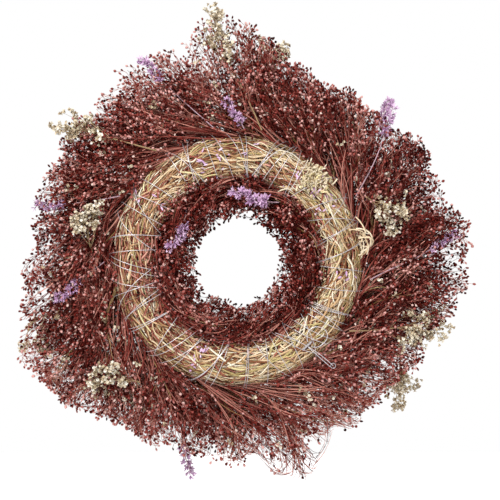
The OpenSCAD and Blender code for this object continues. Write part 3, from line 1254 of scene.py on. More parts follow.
class OuterBunch(Bunch):
    """A bunch that stands out from the ring's outer edge."""

    habit = Habit(stems=48, shoots=4, sprays=3, pods=5)
    first_seed = 100
    first_tie = 2.0
    under_stems = 13  # stems at the front, which fill the bunch below the long ones
    bent_share = 0.3  # stems that turn off along the ring
    back_share = 0.45  # stems that lie on the bunch's back
    fan = (8, 38)  # how far on from the tie the stems end, in degrees
    fan_reach = (0.74, 1.02)  # where they end, as a share of the outline

    def main_stems(self) -> Array:
        """Lays stems that leave the tie nearly along the ring and curve outwards in a fan.

        Returns:
            The stems' paths.
        """
        rng, n = self.rng, self.habit.stems
        fan = self.even_fan()
        under = np.arange(n) < self.under_stems
        bent = rng.random(n) < self.bent_share
        at_back = (rng.random(n) < self.back_share) & ~under
        barer = rise(BARER, np.array(self.tie_turn + math.radians(28)))
        self.bare = np.clip(np.where(at_back, 0.6 + 0.4 * barer, 0.5 * barer), 0, 0.85)
        astray = np.where(rng.random(n) < 0.5, 0, rng.uniform(-8, 8, n))
        tie = self.tie_turn + np.radians(rng.normal(0, 2, n) + astray)
        start_z = np.where(at_back, rng.uniform(0, 8, n), rng.uniform(-14, 0, n)) * MM
        start = polar(PLAN.line_r + PLAN.straw_r + rng.uniform(-3, 3, n) * MM, tie, start_z)
        end_turn = tie + np.radians(self.clumped(*self.fan) + 8 * bent)
        end_r = OUTLINE.at(end_turn) * (self.clumped(*self.fan_reach) - rng.uniform(0, 0.08, n))
        end_r = np.where(bent, PLAN.line_r + PLAN.straw_r + rng.uniform(12, 48, n) * MM, end_r)
        end_turn = np.where(under, tie + np.radians(6 + 34 * fan), end_turn)
        end_r = np.where(under, OUTLINE.at(end_turn) * rng.uniform(0.62, 0.84, n), end_r)
        low = self.low + 5 * MM
        end_z = np.where(at_back, self.high + rng.uniform(-5, 4, n) * MM, self.clumped(low, self.high))
        end = polar(end_r, end_turn, end_z)
        lean = math.radians(70) + rng.normal(0, 0.12, n) + 0.2 * (fan - 0.5) + 0.15 * bent
        leave = polar(np.ones(n), tie + lean, np.zeros(n))
        return sway(arched(start, leave, end, 0.5, 14), rng, 2.5 * MM)

    def room(self, points: Array, r: Array) -> tuple[Array, Array]:
        """Keeps the bunch outside the straw, inside its reach and between its back and front.

        Args:
            points: Grown points.
            r: Their distances to the axis.

        Returns:
            The distances and heights that they get.
        """
        reach = OUTLINE.at(np.arctan2(points[..., 1], points[..., 0]))
        wanted = soft_limit(r, PLAN.line_r + 6 * MM, reach - 8 * MM, 14 * MM)
        return wanted, soft_limit(points[..., 2], self.low + 2 * MM, self.high + 1 * MM, 6 * MM)


class FrontBunch(Bunch):
    """A bunch that covers the ring's front and part of the outer bunches."""

    habit = Habit(stems=38, shoots=4, sprays=3, pods=6)
    first_seed = 300
    first_tie = 6.0
    tie_shift = 1 / 3
    foot = -PLAN.straw_r - 12 * MM  # height of the crown's edge

    def main_stems(self) -> Array:
        """Lays stems that rise from the ring's front and arch over to both sides.

        Returns:
            The stems' paths.
        """
        rng, n = self.rng, self.habit.stems
        fan = self.even_fan()
        start = polar(
            PLAN.line_r + rng.uniform(-7, 7, n) * MM,
            self.tie_turn + np.radians(rng.normal(0, 5, n)),
            -PLAN.straw_r - rng.uniform(1, 6, n) * MM,
        )
        end_r = self.inside + 6 * MM + (self.reach - self.inside - 8 * MM) * fan
        dome = np.sqrt(np.clip(1 - (2 * fan - 1) ** 2, 0.12, 1))
        end_z = self.foot + (self.low - self.foot) * dome * rng.uniform(0.7, 1, n)
        end = polar(end_r, self.tie_turn + np.radians(20 + 26 * rng.random(n)), end_z)
        leave = polar(np.ones(n), self.tie_turn + math.radians(85), -0.35)
        return sway(arched(start, leave, end, 0.45, 14), rng, 2 * MM)

    def room(self, points: Array, r: Array) -> tuple[Array, Array]:
        """Keeps the bunch in front of the straw and under a rounded crown.

        Args:
            points: Grown points.
            r: Their distances to the axis.

        Returns:
            The distances and heights that they get.
        """
        wanted = soft_limit(r, self.inside - 2 * MM, self.reach, 8 * MM)
        middle, half = (self.inside + self.reach) / 2, (self.reach - self.inside) / 2 + 8 * MM
        crown = np.sqrt(np.clip(1 - ((wanted - middle) / half) ** 2, 0.1, 1))
        lowest = self.foot + (self.low + 3 * MM - self.foot) * crown
        z = points[..., 2]
        deep = np.minimum(z - lowest, 0)
        z = z - deep + 5 * MM * np.tanh(deep / (5 * MM))
        return wanted, np.minimum(z, -PLAN.straw_r * 0.6)


class InnerBunch(Bunch):
    """A bunch that lies along the ring's inner edge and fills it up to the open middle."""

    habit = Habit(
        stems=32, shoots=4, sprays=2, pods=6,
        shoot_len=20 * MM, spray_len=14 * MM, stalk_len=3.4 * MM,
    )
    first_seed = 500
    first_tie = 92.0
    back_share = 0.4  # stems that lie on the bunch's back
    back_bare = 0.35  # share of those stems that carries no shoots

    def main_stems(self) -> Array:
        """Lays stems that run along the ring's inner edge and drift inwards.

        Returns:
            The stems' paths.
        """
        rng, n = self.rng, self.habit.stems
        fan = self.even_fan()
        inner_edge = PLAN.line_r - PLAN.straw_r
        at_back = rng.random(n) < self.back_share
        self.bare = np.where(at_back, self.back_bare, 0.0)
        tie = self.tie_turn + np.radians(rng.normal(0, 6, n))
        start_z = np.where(at_back, rng.uniform(4, 13, n), rng.uniform(-14, 4, n)) * MM
        start = polar(inner_edge + rng.uniform(-4, 5, n) * MM, tie, start_z)
        end_r = self.inside + 2 * MM + (inner_edge - self.inside) * 0.95 * fan
        end_z = np.where(at_back, rng.uniform(0, 10, n) * MM, rng.uniform(self.low + 6 * MM, self.high, n))
        end = polar(end_r, tie + np.radians(24 + 38 * rng.random(n)), end_z)
        leave = polar(np.ones(n), tie + np.radians(96 + rng.normal(0, 6, n)), np.zeros(n))
        return sway(arched(start, leave, end, 0.4, 12), rng, 1.5 * MM)

    def shade(self, turn: Array) -> Array:
        """Darker than the outer flowers, and darkest on the right."""
        return 0.38 - 0.08 * np.cos(turn)

    def room(self, points: Array, r: Array) -> tuple[Array, Array]:
        """Keeps the bunch between the open middle and the straw.

        Args:
            points: Grown points.
            r: Their distances to the axis.

        Returns:
            The distances and heights that they get.
        """
        wanted = soft_limit(r, self.inside + 1 * MM, PLAN.line_r - 8 * MM, 5 * MM)
        return wanted, soft_limit(points[..., 2], self.low + 2 * MM, self.high + 5 * MM, 5 * MM)


# ---------------------------------------------------------------------------- ring, wire and sprigs


@dataclass
class StrawRing:
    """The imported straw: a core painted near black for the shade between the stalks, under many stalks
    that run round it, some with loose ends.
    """

    material: Material
    combed: int = 1500
    tangled: int = 1450
    core_gap: float = 1.8 * MM
    loose_share: float = 0.05

    def build(self) -> Piece:
        """Lays the stalks.

        Returns:
            The piece.
        """
        rng = np.random.default_rng(11)
        stock = Stock()
        self.core(stock)
        self.lay(stock, rng, self.combed, (18, 64), math.radians(10), (-1.7, 0.1), 1.2, (0.35, 0.85))
        self.lay(stock, rng, self.tangled, (9, 30), math.radians(24), (-0.5, 1.4), 2.0, (0.35, 0.9))
        return stock.to_piece("straw_stalks", self.material, "straw", "straw_ring")

    def lay(
        self,
        stock: Stock,
        rng: Rng,
        n: int,
        lengths: tuple[float, float],
        slant_spread: float,
        levels: tuple[float, float],
        bow: float,
        widths: tuple[float, float],
    ) -> None:
        """Lays one layer of stalks round the ring.

        Args:
            stock: Where they go.
            rng: Source of their places.
            n: How many.
            lengths: Shortest and longest, in millimetres.
            slant_spread: Spread of their angle to the ring's direction, in radians.
            levels: Lowest and highest level above the straw's surface, in millimetres.
            bow: How far a stalk may bow sideways, in millimetres.
            widths: Least and greatest half width, in millimetres.
        """
        k = 9
        turn = rng.uniform(0, 2 * math.pi, n)
        back = rng.random(n) < 0.85
        phi = np.where(back, rng.uniform(-0.3, math.pi + 0.3, n), rng.uniform(0, 2 * math.pi, n))
        length = rng.uniform(*lengths, n) * MM
        slant = rng.normal(0, slant_spread, n) + 0.12 * np.sin(3 * turn)
        s = np.linspace(-0.5, 0.5, k)[None]
        arc = (4 * s**2 - 1) * rng.normal(0, bow, n)[:, None] * MM
        turns = turn[:, None] + (length[:, None] * s * np.cos(slant)[:, None]) / PLAN.line_r
        phis = phi[:, None] + (length[:, None] * s * np.sin(slant)[:, None] + arc) / PLAN.straw_r
        level = rng.uniform(*levels, n)[:, None] * MM
        dive = 1.2 * MM * np.abs(2 * s) ** 6
        loose = (rng.random(n) < self.loose_share)[:, None] * np.maximum(s, 0) ** 3
        loose = loose * rng.uniform(8, 30, n)[:, None] * MM
        r = PLAN.straw_r + level - dive + loose
        r = r + 0.35 * MM * np.sin(7 * s + rng.uniform(0, 6, n)[:, None])
        dyed = rng.random(n) < 0.06 + rise(DYED, turn)
        family = np.where(dyed, Stalk.DYED, np.where(rng.random(n) < 0.14, Stalk.GREENISH, Stalk.PALE))
        stock.tubes(
            PLAN.on_tube(turns, phis, r),
            rng.uniform(*widths, n)[:, None] * MM * (1 - 0.3 * np.abs(2 * s) ** 4),
            varied(rng, 0.48, 0.38, n), family, sides=4, flat=0.35,
            up=PLAN.outward(turns, phis),
        )

    def core(self, stock: Stock) -> None:
        """Adds the inside that shows between the stalks, painted near black as the shade deep in the gaps.

        Args:
            stock: Where it goes.
        """
        around, across = 144, 28
        turn = 2 * math.pi * np.arange(around)[:, None] / around
        phi = 2 * math.pi * np.arange(across)[None] / across
        points = PLAN.on_tube(turn, phi, PLAN.straw_r - self.core_gap + 0 * (turn + phi))
        i, j = np.arange(around)[:, None], np.arange(across)[None]
        i2, j2 = (i + 1) % around, (j + 1) % across
        quads = np.stack([i * across + j, i2 * across + j, i2 * across + j2, i * across + j2], -1)
        shade = 0.5 + 0.4 * np.sin(9 * turn + 3 * phi)
        # The core takes the near-black painted-shade row.
        places = Stock.place(shade, Stalk.PAINTED_SHADE, 0.5 + 0.4 * np.cos(5 * turn), np.cos(phi))
        stock.add(points, places, quads=quads)


@dataclass
class StrawEnds:
    """The two places where straw stands out of the ring: a brush of cut ends and some loose bows."""

    material: Material
    brush_straws: int = 240
    bows: int = 13

    def build(self) -> Piece:
        """Grows both.

        Returns:
            The piece.
        """
        rng = np.random.default_rng(12)
        stock = Stock()
        solid = Solid.read("straw_ends", PLAN)
        turns = np.arctan2(solid.points[:, 1], solid.points[:, 0])
        between = (turns.max() + turns.min()) / 2
        self.brush(stock, rng, solid.points[turns > between])
        self.loose_bows(stock, rng, solid.points[turns <= between])
        return stock.to_piece("straw_tufts", self.material, "straw", "straw_ends")

    def brush(self, stock: Stock, rng: Rng, points: Array) -> None:
        """Adds a dense, short brush of pale cut ends.

        Args:
            stock: Where it goes.
            rng: Source of its straws.
            points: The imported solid's points there.
        """
        n = self.brush_straws
        middle = (points.max(0) + points.min(0)) / 2
        turn = math.atan2(middle[1], middle[0]) + rng.normal(0, 0.065, n)
        phi = rng.uniform(0.6, 1.9, n)
        base = PLAN.on_tube(turn, phi, PLAN.straw_r - 2 * MM)
        out = PLAN.outward(turn, phi) + rng.normal(0, 0.35, (n, 3))
        out = unit(out + polar(np.full(n, 0.5), turn, 0.1))
        s = np.linspace(0, 1, 5)[None, :, None]
        paths = base[:, None] + out[:, None] * rng.uniform(4, 8.5, n)[:, None, None] * MM * s
        family = np.where(rng.random(n) < 0.3, Stalk.GREENISH, Stalk.PALE)
        stock.tubes(
            sway(paths, rng, 1.2 * MM), rng.uniform(0.4, 0.95, n)[:, None] * MM,
            rng.uniform(0.88, 1.0, n), family, sides=4, flat=0.5,
        )

    def loose_bows(self, stock: Stock, rng: Rng, points: Array) -> None:
        """Adds straws that leave the ring and bend back to it.

        Args:
            stock: Where they go.
            rng: Source of their shapes.
            points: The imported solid's points there.
        """
        n = self.bows
        middle = (points.max(0) + points.min(0)) / 2
        turn = math.atan2(middle[1], middle[0]) + rng.normal(0, 0.05, n)
        base_r = np.hypot(*middle[:2]) - 11 * MM
        base = polar(np.full(n, base_r), turn, middle[2] + rng.normal(-1, 2, n) * MM)
        out = unit(polar(np.ones(n), turn + rng.normal(0, 0.7, n), rng.normal(0.2, 0.4, n)))
        side = unit(np.cross(rng.normal(0, 0.5, (n, 3)) + AXIS, out))
        swing = rng.uniform(0.45, 1.1, n)[:, None, None]
        a = (0.5 + swing * np.linspace(-0.5, 0.6, 14)[None, :, None]) * math.pi
        far = rng.uniform(4, 13, n)[:, None, None] * MM
        wide = rng.uniform(3, 10, n)[:, None, None] * MM
        paths = base[:, None] + out[:, None] * far * np.sin(a) - side[:, None] * wide * np.cos(a)
        paths = sway(paths, rng, 2.5 * MM)
        stock.tubes(
            paths, rng.uniform(0.35, 0.8, n)[:, None] * MM, rng.uniform(0.5, 1.0, n), Stalk.PALE,
            sides=4, flat=0.4, up=AXIS[None, None],
        )


@dataclass
class Winding:
    """A wire or thread wound round the ring in one long spiral."""

    node: str
    material: Material
    places: tuple[float, ...]
    wire_r: float
    slack: float
    slant: float
    seed: int
    slot: str
    half_samples: int = 14
    waver: float = 0.12 * MM

    def build(self) -> Piece:
        """Winds it.

        Returns:
            The piece.
        """
        rng = np.random.default_rng(self.seed)
        low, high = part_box(self.node)
        loop_r, shift = (high.y - low.y) / 2, (high.y + low.y) / 2
        n = len(self.places)
        slants = rng.normal(0, self.slant, n + 1)
        slants[n] = slants[0]
        places = np.append(self.places, self.places[0] + 360)
        half = np.linspace(0, 1, self.half_samples, endpoint=False)
        turns, phis = [], []
        for here, there, slant, next_slant in zip(places, places[1:], slants, slants[1:]):
            leave, meet = here + slant / 2, there - next_slant / 2
            turns += [here + slant * (half - 0.5), leave + (meet - leave) * half]
            phis += [math.pi * half, math.pi * (1 + half)]
        turn, phi = np.radians(np.concatenate(turns)), np.concatenate(phis)
        loop = shift * np.sin(phi) + np.sqrt(loop_r**2 - (shift * np.cos(phi)) ** 2)
        loop = np.maximum(loop - self.wire_r + self.slack, PLAN.straw_r + self.slack)
        loop = loop + self.waver * np.sin(np.arange(len(phi)) * 1.7)
        stock = Stock()
        for part in np.array_split(np.arange(len(phi)), max(1, n // 6)):
            ids = np.append(part, (part[-1] + 1) % len(phi))
            path = PLAN.on_tube(turn[ids], phi[ids], loop[ids])[None]
            up = PLAN.outward(turn[ids], phi[ids])[None]
            stock.tubes(path, self.wire_r, rng.uniform(0.2, 0.9, 1), 0, sides=6, up=up)
        return stock.to_piece(self.node + "_spiral", self.material, self.slot, self.node)


@dataclass
class Tie:
    """The wire's twisted end with its two cut tails, and the hanging eye bent from it."""

    material: Material
    wire_r: float = 0.32 * MM
    twist_half: float = 5 * MM
    twist_r: float = 0.62 * MM

    def build(self) -> list[Piece]:
        """Bends the tie and the eye.

        Returns:
            The eye's piece and the tie's piece.
        """
        low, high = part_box("hanging_eye")
        corners = PLAN.lie_down(np.array([low, high], float))
        centre = corners.mean(0)
        eye_r = abs(corners[1, 0] - corners[0, 0]) / 2 - self.wire_r
        knot = polar(PLAN.line_r + 5 * MM, math.radians(-50.5), centre[2])
        eye = self.eye(centre, eye_r, math.atan2(*(knot - centre)[1::-1]))
        stock = Stock()
        self.twist(stock, knot, unit(centre - knot))
        self.tails(stock, knot, centre[2])
        return [eye, stock.to_piece("tie_wire_twist", self.material, "wire", "tie_wire")]

    def strand(self, stock: Stock, path: Array, thickness: float, tone: float) -> None:
        """Adds one length of wire.

        Args:
            stock: Where it goes.
            path: Its path (k, 3).
            thickness: Its thickness, as a share of the binding wire's end.
            tone: Its tone.
        """
        up = AXIS[None, None]
        stock.tubes(path[None], self.wire_r * thickness, np.array([tone]), 0, sides=6, up=up)

    def eye(self, centre: Array, eye_r: float, turn: float) -> Piece:
        """Bends the hanging eye, open where it meets the twist.

        Args:
            centre: Its centre.
            eye_r: Radius of the wire's middle line.
            turn: Direction of its opening, in radians.

        Returns:
            The piece.
        """
        a = turn + np.linspace(0.25, 2 * math.pi - 0.25, 40)
        wobble = 1 + 0.05 * np.sin(2 * a) + 0.03 * np.sin(3 * a + 1)
        stock = Stock()
        self.strand(stock, centre + polar(eye_r * wobble, a, 0.6 * MM * np.sin(2 * a)), 1.0, 0.6)
        return stock.to_piece("hanging_eye_loop", self.material, "wire", "hanging_eye")

    def twist(self, stock: Stock, knot: Array, toward: Array) -> None:
        """Twists the two strands round each other.

        Args:
            stock: Where they go.
            knot: Middle of the twist.
            toward: Its direction, towards the eye.
        """
        across = np.cross(toward, AXIS)
        s = np.linspace(-1, 1, 60)[:, None]
        for half in (0, math.pi):
            spin = 5 * math.pi * s + half
            round_it = across * np.cos(spin) + AXIS * np.sin(spin)
            self.strand(stock, knot + toward * s * self.twist_half + round_it * self.twist_r, 1.0, 0.5)

    def tails(self, stock: Stock, knot: Array, z: float) -> None:
        """Runs the wire's ends out of the twist, one of them to a small eyelet.

        Args:
            stock: Where they go.
            knot: Where they start.
            z: Height of the hanging eye.
        """
        edge = PLAN.line_r + PLAN.straw_r
        ends = (
            polar(PLAN.line_r - 18 * MM, math.radians(-62), z + 1 * MM),
            polar(PLAN.line_r - 11 * MM, math.radians(-56), z + 2 * MM),
            polar(edge + 14 * MM, math.radians(-47.5), z - 5 * MM),
            polar(edge + 13 * MM, math.radians(-48.6), z - 5 * MM),
        )
        for i, end in enumerate(ends):
            handle = (knot + end) / 2 + np.array([1.5 * (-1) ** i, 1.0, 1.6]) * MM
            path = bezier(knot[None], handle[None], end[None], 16)[0]
            self.strand(stock, path, 0.85, 0.4 + 0.1 * i)
        a = np.linspace(0, 2 * math.pi, 20)
        self.strand(stock, ends[2] + polar(2 * MM, a, 0.0), 0.8, 0.3)


@dataclass
class Crumbs:
    """Bits of stem, seed heads and petals that are caught under the wire and in the straw."""

    burgundy: Material
    lilac: Material
    stems: int = 260
    pods: int = 330
    petals: int = 90

    def build(self) -> list[Piece]:
        """Scatters them over the straw's back.

        Returns:
            The piece of stems and seed heads, and the piece of petals.
        """
        rng = np.random.default_rng(31)
        stock = Stock()
        turn, phi = self.scatter(rng, self.stems)
        s = np.linspace(-0.5, 0.5, 5)[None]
        way = rng.uniform(0, math.pi, self.stems)[:, None]
        length = rng.uniform(6, 26, self.stems)[:, None] * MM
        turns = turn[:, None] + length * s * np.cos(way) / PLAN.line_r
        phis = phi[:, None] + length * s * np.sin(way) / PLAN.straw_r
        lift = rng.uniform(0.2, 1.6, self.stems)[:, None] * MM
        tone = rng.uniform(0.1, 0.9, self.stems)
        stock.tubes(PLAN.on_tube(turns, phis, PLAN.straw_r + lift), 0.3 * MM, tone, Plant.STEM)
        turn, phi = self.scatter(rng, self.pods)
        base = PLAN.on_tube(turn, phi, PLAN.straw_r + rng.uniform(0.2, 1.5, self.pods) * MM)
        family = np.where(rng.random(self.pods) < 0.3, Plant.DUSTY, Plant.POD)
        stock.forms(
            Form.POD, base, unit(rng.normal(0, 1, base.shape)), 2.6 * MM, 2.0 * MM,
            rng.uniform(0.1, 1, self.pods), family, rng,
        )
        seeds = stock.to_piece("caught_seed_heads", self.burgundy, "burgundy")
        stock = Stock()
        spots = rng.uniform(0, 2 * math.pi, 9)
        near = spots[rng.integers(0, len(spots), self.petals)]
        turn = near + rng.normal(0, 0.03, self.petals)
        phi = rng.normal(1.5, 0.5, self.petals)
        base = PLAN.on_tube(turn, phi, PLAN.straw_r + rng.uniform(0.4, 1.4, self.petals) * MM)
        face = PLAN.outward(turn, phi)
        way = rng.normal(0, 1, base.shape)
        way = unit(way - (way * face).sum(-1, keepdims=True) * face * 0.8)
        stock.petals(
            base, way, face, rng.uniform(2.5, 5, self.petals) * MM, rng.uniform(0.8, 1.8, self.petals) * MM,
            rng.uniform(0.3, 1, self.petals), Flower.PETAL, 0.2,
        )
        return [seeds, stock.to_piece("caught_petals", self.lilac, "lilac")]

    @staticmethod
    def scatter(rng: Rng, n: int) -> tuple[Array, Array]:
        """Picks places on the straw's back, most of them where the flowers meet the straw.

        Args:
            rng: Source of the places.
            n: How many.

        Returns:
            Angles round the ring and round its thickness.
        """
        gathered = rng.random(n) < 0.45
        turn = np.where(gathered, rng.normal(math.radians(190), 0.6, n), rng.uniform(0, 2 * math.pi, n))
        at_edge = rng.random(n) < 0.5
        phi = np.where(at_edge, rng.normal(2.5, 0.3, n), rng.uniform(0.2, 2.9, n))
        return turn, phi


class Sprig:
    """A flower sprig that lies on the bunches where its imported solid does."""

    def __init__(self, name: str, seed: int, material: Material) -> None:
        """Takes the sprig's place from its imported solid.

        Args:
            name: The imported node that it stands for.
            seed: Seed of everything that varies in it.
            material: Its finish.
        """
        self.name = name
        self.rng = np.random.default_rng(seed)
        self.material = material
        self.solid = Solid.read(name, PLAN)
        self.base, self.tip = self.solid.ends()
        self.face = 1.0 if self.base[2] > 0 else -1.0
        self.inner = math.hypot(*self.tip[:2]) < PLAN.line_r

    def stem(self, stock: Stock, bend: Array, radii: tuple[float, float], tone: float) -> Array:
        """Lays the stem from the sprig's base to its tip.

        Args:
            stock: Where it goes.
            bend: How far its handle is moved off the middle.
            radii: Its radius at the base and at the tip, in millimetres.
            tone: Its tone.

        Returns:
            Its path (1, points, 3).
        """
        handle = (self.base + self.tip) / 2 + bend
        path = sway(bezier(self.base[None], handle[None], self.tip[None], 12), self.rng, 1.5 * MM)
        stock.tubes(path, np.linspace(*radii, 12)[None] * MM, np.array([tone]), Flower.STEM, sides=5)
        return path


class CreamSprig(Sprig):
    """Small cream flowers in flat clusters on a branching greenish stem."""

    twigs = 13
    tops_each = 5

    def build(self) -> Piece:
        """Grows the sprig.

        Returns:
            The piece.
        """
        rng = self.rng
        stock = Stock()
        length = np.linalg.norm(self.tip - self.base)
        stem = self.stem(stock, rng.normal(0, 2 * MM, 3), (0.7, 0.35), 0.5)
        n = self.twigs
        parent = np.zeros(n, int)
        at = 1 - np.linspace(0, 1, n) * min(0.85, 34 * MM / length)
        twigs = branch(stem, parent, at, rng.uniform(0.4, 1.0, n), rng.uniform(9, 22, n) * MM, 0.5, 6, rng)
        twigs = sway(twigs, rng, 1 * MM)
        stock.tubes(twigs, np.linspace(0.32, 0.2, 6)[None] * MM, rng.uniform(0.3, 0.9, n), Flower.STEM)
        parent = np.repeat(np.arange(n), self.tops_each)
        m = len(parent)
        at, spread = rng.uniform(0.5, 1, m), rng.uniform(0.3, 0.9, m)
        tops = branch(twigs, parent, at, spread, rng.uniform(3, 8, m) * MM, 0.4, 3, rng)
        stock.tubes(tops, 0.16 * MM, rng.uniform(0.3, 0.9, m), Flower.STEM)
        cream_cluster(stock, rng, tops[:, -1], unit(tops[:, -1] - tops[:, -2]), self.face)
        return stock.to_piece(self.name + "_flowers", self.material, "cream", self.name)


def whorl(side: Array, ahead: Array, count: int) -> list[Array]:
    """Directions of a flower's petals, spread evenly round the way that it points.

    Args:
        side: Direction of the first petal, (n, 3).
        ahead: The way that each flower points, (n, 3).
        count: Number of petals.

    Returns:
        One array of directions for each petal.
    """
    lift = np.cross(ahead, side)
    angles = [2 * math.pi * k / count for k in range(count)]
    return [math.cos(a) * side + math.sin(a) * lift for a in angles]


def cream_cluster(
    stock: Stock, rng: Rng, at: Array, ahead: Array, face: float, each: int = 5
) -> None:
    """Adds a cluster of small cream flowers at each place.

    Args:
        stock: Where they go.
        rng: Source of their sizes and directions.
        at: Places (n, 3).
        ahead: Directions that the clusters point in, (n, 3).
        face: 1 where they turn to the wreath's back, -1 to its front.
        each: Flowers in a cluster.
    """
    at = np.repeat(at, each, 0) + rng.normal(0, 1.2 * MM, (len(at) * each, 3))
    ahead = unit(np.repeat(ahead, each, 0) + rng.normal(0, 0.6, at.shape) + 0.5 * face * AXIS)
    n = len(at)
    tone = rng.uniform(0.1, 1, n)
    stock.forms(Form.CUP, at, ahead, 1.3 * MM, 1.1 * MM, tone, Flower.CALYX, rng, sides=5, flat=1)
    top = at + ahead * 1.1 * MM
    side = square_to(ahead, rng.normal(0, 1, (n, 3)))
    faded = np.where(rng.random(n) < 0.25, Flower.FADED, Flower.PETAL)
    for spoke in whorl(side, ahead, 5):
        stock.petals(
            top, unit(spoke + 0.75 * ahead), ahead, rng.uniform(1.4, 2.3, n) * MM,
            rng.uniform(1.5, 2.0, n) * MM, varied(rng, tone, 0.1, n), faded, rng.uniform(-0.1, 0.5, n),
        )


@dataclass
class StrayCream:
    """Single cream flower heads between the burgundy ones, thickest at the left and the lower right."""

    material: Material
    heads: int = 120
    spread: tuple[Lobe, ...] = (
        Lobe(185, 28, 1.0),
        Lobe(335, 24, 1.0),
        Lobe(38, 14, 0.5),
        Lobe(95, 12, 0.6),
        Lobe(232, 9, 0.8),
    )

    def build(self) -> Piece:
        """Scatters them over the outer bunches.

        Returns:
            The piece.
        """
        rng = np.random.default_rng(41)
        stock = Stock()
        tried = rng.uniform(0, 2 * math.pi, 40 * self.heads)
        turn = tried[rng.random(len(tried)) < 0.08 + 0.9 * rise(self.spread, tried)][:self.heads]
        share = rng.uniform(0.12, 0.85, len(turn))
        edge = PLAN.line_r + PLAN.straw_r
        r = edge + (OUTLINE.at(turn) - edge) * share
        top = Solid.read(nodes_named("outer_bunch")[0], PLAN).heights[1]
        tip = polar(r, turn, top + rng.uniform(-4, 4, len(turn)) * MM)
        lean = turn + rng.normal(0, 0.6, len(turn))
        base = tip + polar(rng.uniform(-14, -6, len(turn)) * MM, lean, -9 * MM)
        stalks = sway(bezier(base, (base + tip) / 2, tip, 5), rng, 1 * MM)
        stock.tubes(stalks, 0.2 * MM, rng.uniform(0.3, 0.9, len(turn)), Flower.STEM)
        cream_cluster(stock, rng, tip, unit(tip - base), 1.0, each=4)
        return stock.to_piece("stray_cream_flowers", self.material, "cream")


class LilacSpike(Sprig):
    """A spike of thin lilac florets along a pale stem."""

    florets = 30
    inner_lift = 5 * MM  # those at the open middle lie on top of the flowers there
    inner_size = 1.3

    def build(self) -> Piece:
        """Grows the spike.

        Returns:
            The piece.
        """
        rng = self.rng
        stock = Stock()
        if self.inner:
            self.tip = self.tip + self.inner_lift * AXIS
        size = self.inner_size if self.inner else 1.0
        stem = self.stem(stock, rng.normal(0, 3 * MM, 3) * np.array([1, 1, 0.3]), (0.5, 0.3), 0.7)
        n = self.florets
        length = np.linalg.norm(self.tip - self.base)
        at = 1 - np.linspace(0, 1, n) * min(0.9, 25 * MM / length)
        base, ahead = along_paths(stem, np.zeros(n, int), at)
        side = square_to(ahead, rng.normal(0, 1, base.shape) + 0.6 * self.face * AXIS)
        out = unit(0.8 * ahead + side)
        tip = base + out * rng.uniform(0.8, 2.4, n)[:, None] * MM
        stock.tubes(np.stack([base, tip], 1), 0.2 * MM, rng.uniform(0.4, 1, n), Flower.STEM)
        stock.forms(Form.CUP, tip, out, 1.8 * MM, 1.1 * MM, rng.uniform(0, 1, n), Flower.CALYX, rng, flat=1)
        top = tip + out * 1.2 * MM
        for spoke in whorl(square_to(out, rng.normal(0, 1, (n, 3))), out, 6):
            way = unit(spoke + rng.uniform(0.3, 1.4, (n, 1)) * out)
            stock.petals(
                top, way, out, size * rng.uniform(2.4, 4.4, n) * MM, size * rng.uniform(0.9, 1.6, n) * MM,
                rng.uniform(0.1, 1, n), Flower.PETAL, rng.uniform(-0.3, 0.5, n),
            )
        return stock.to_piece(self.name + "_florets", self.material, "lilac", self.name)


# ---------------------------------------------------------------------------- the scene


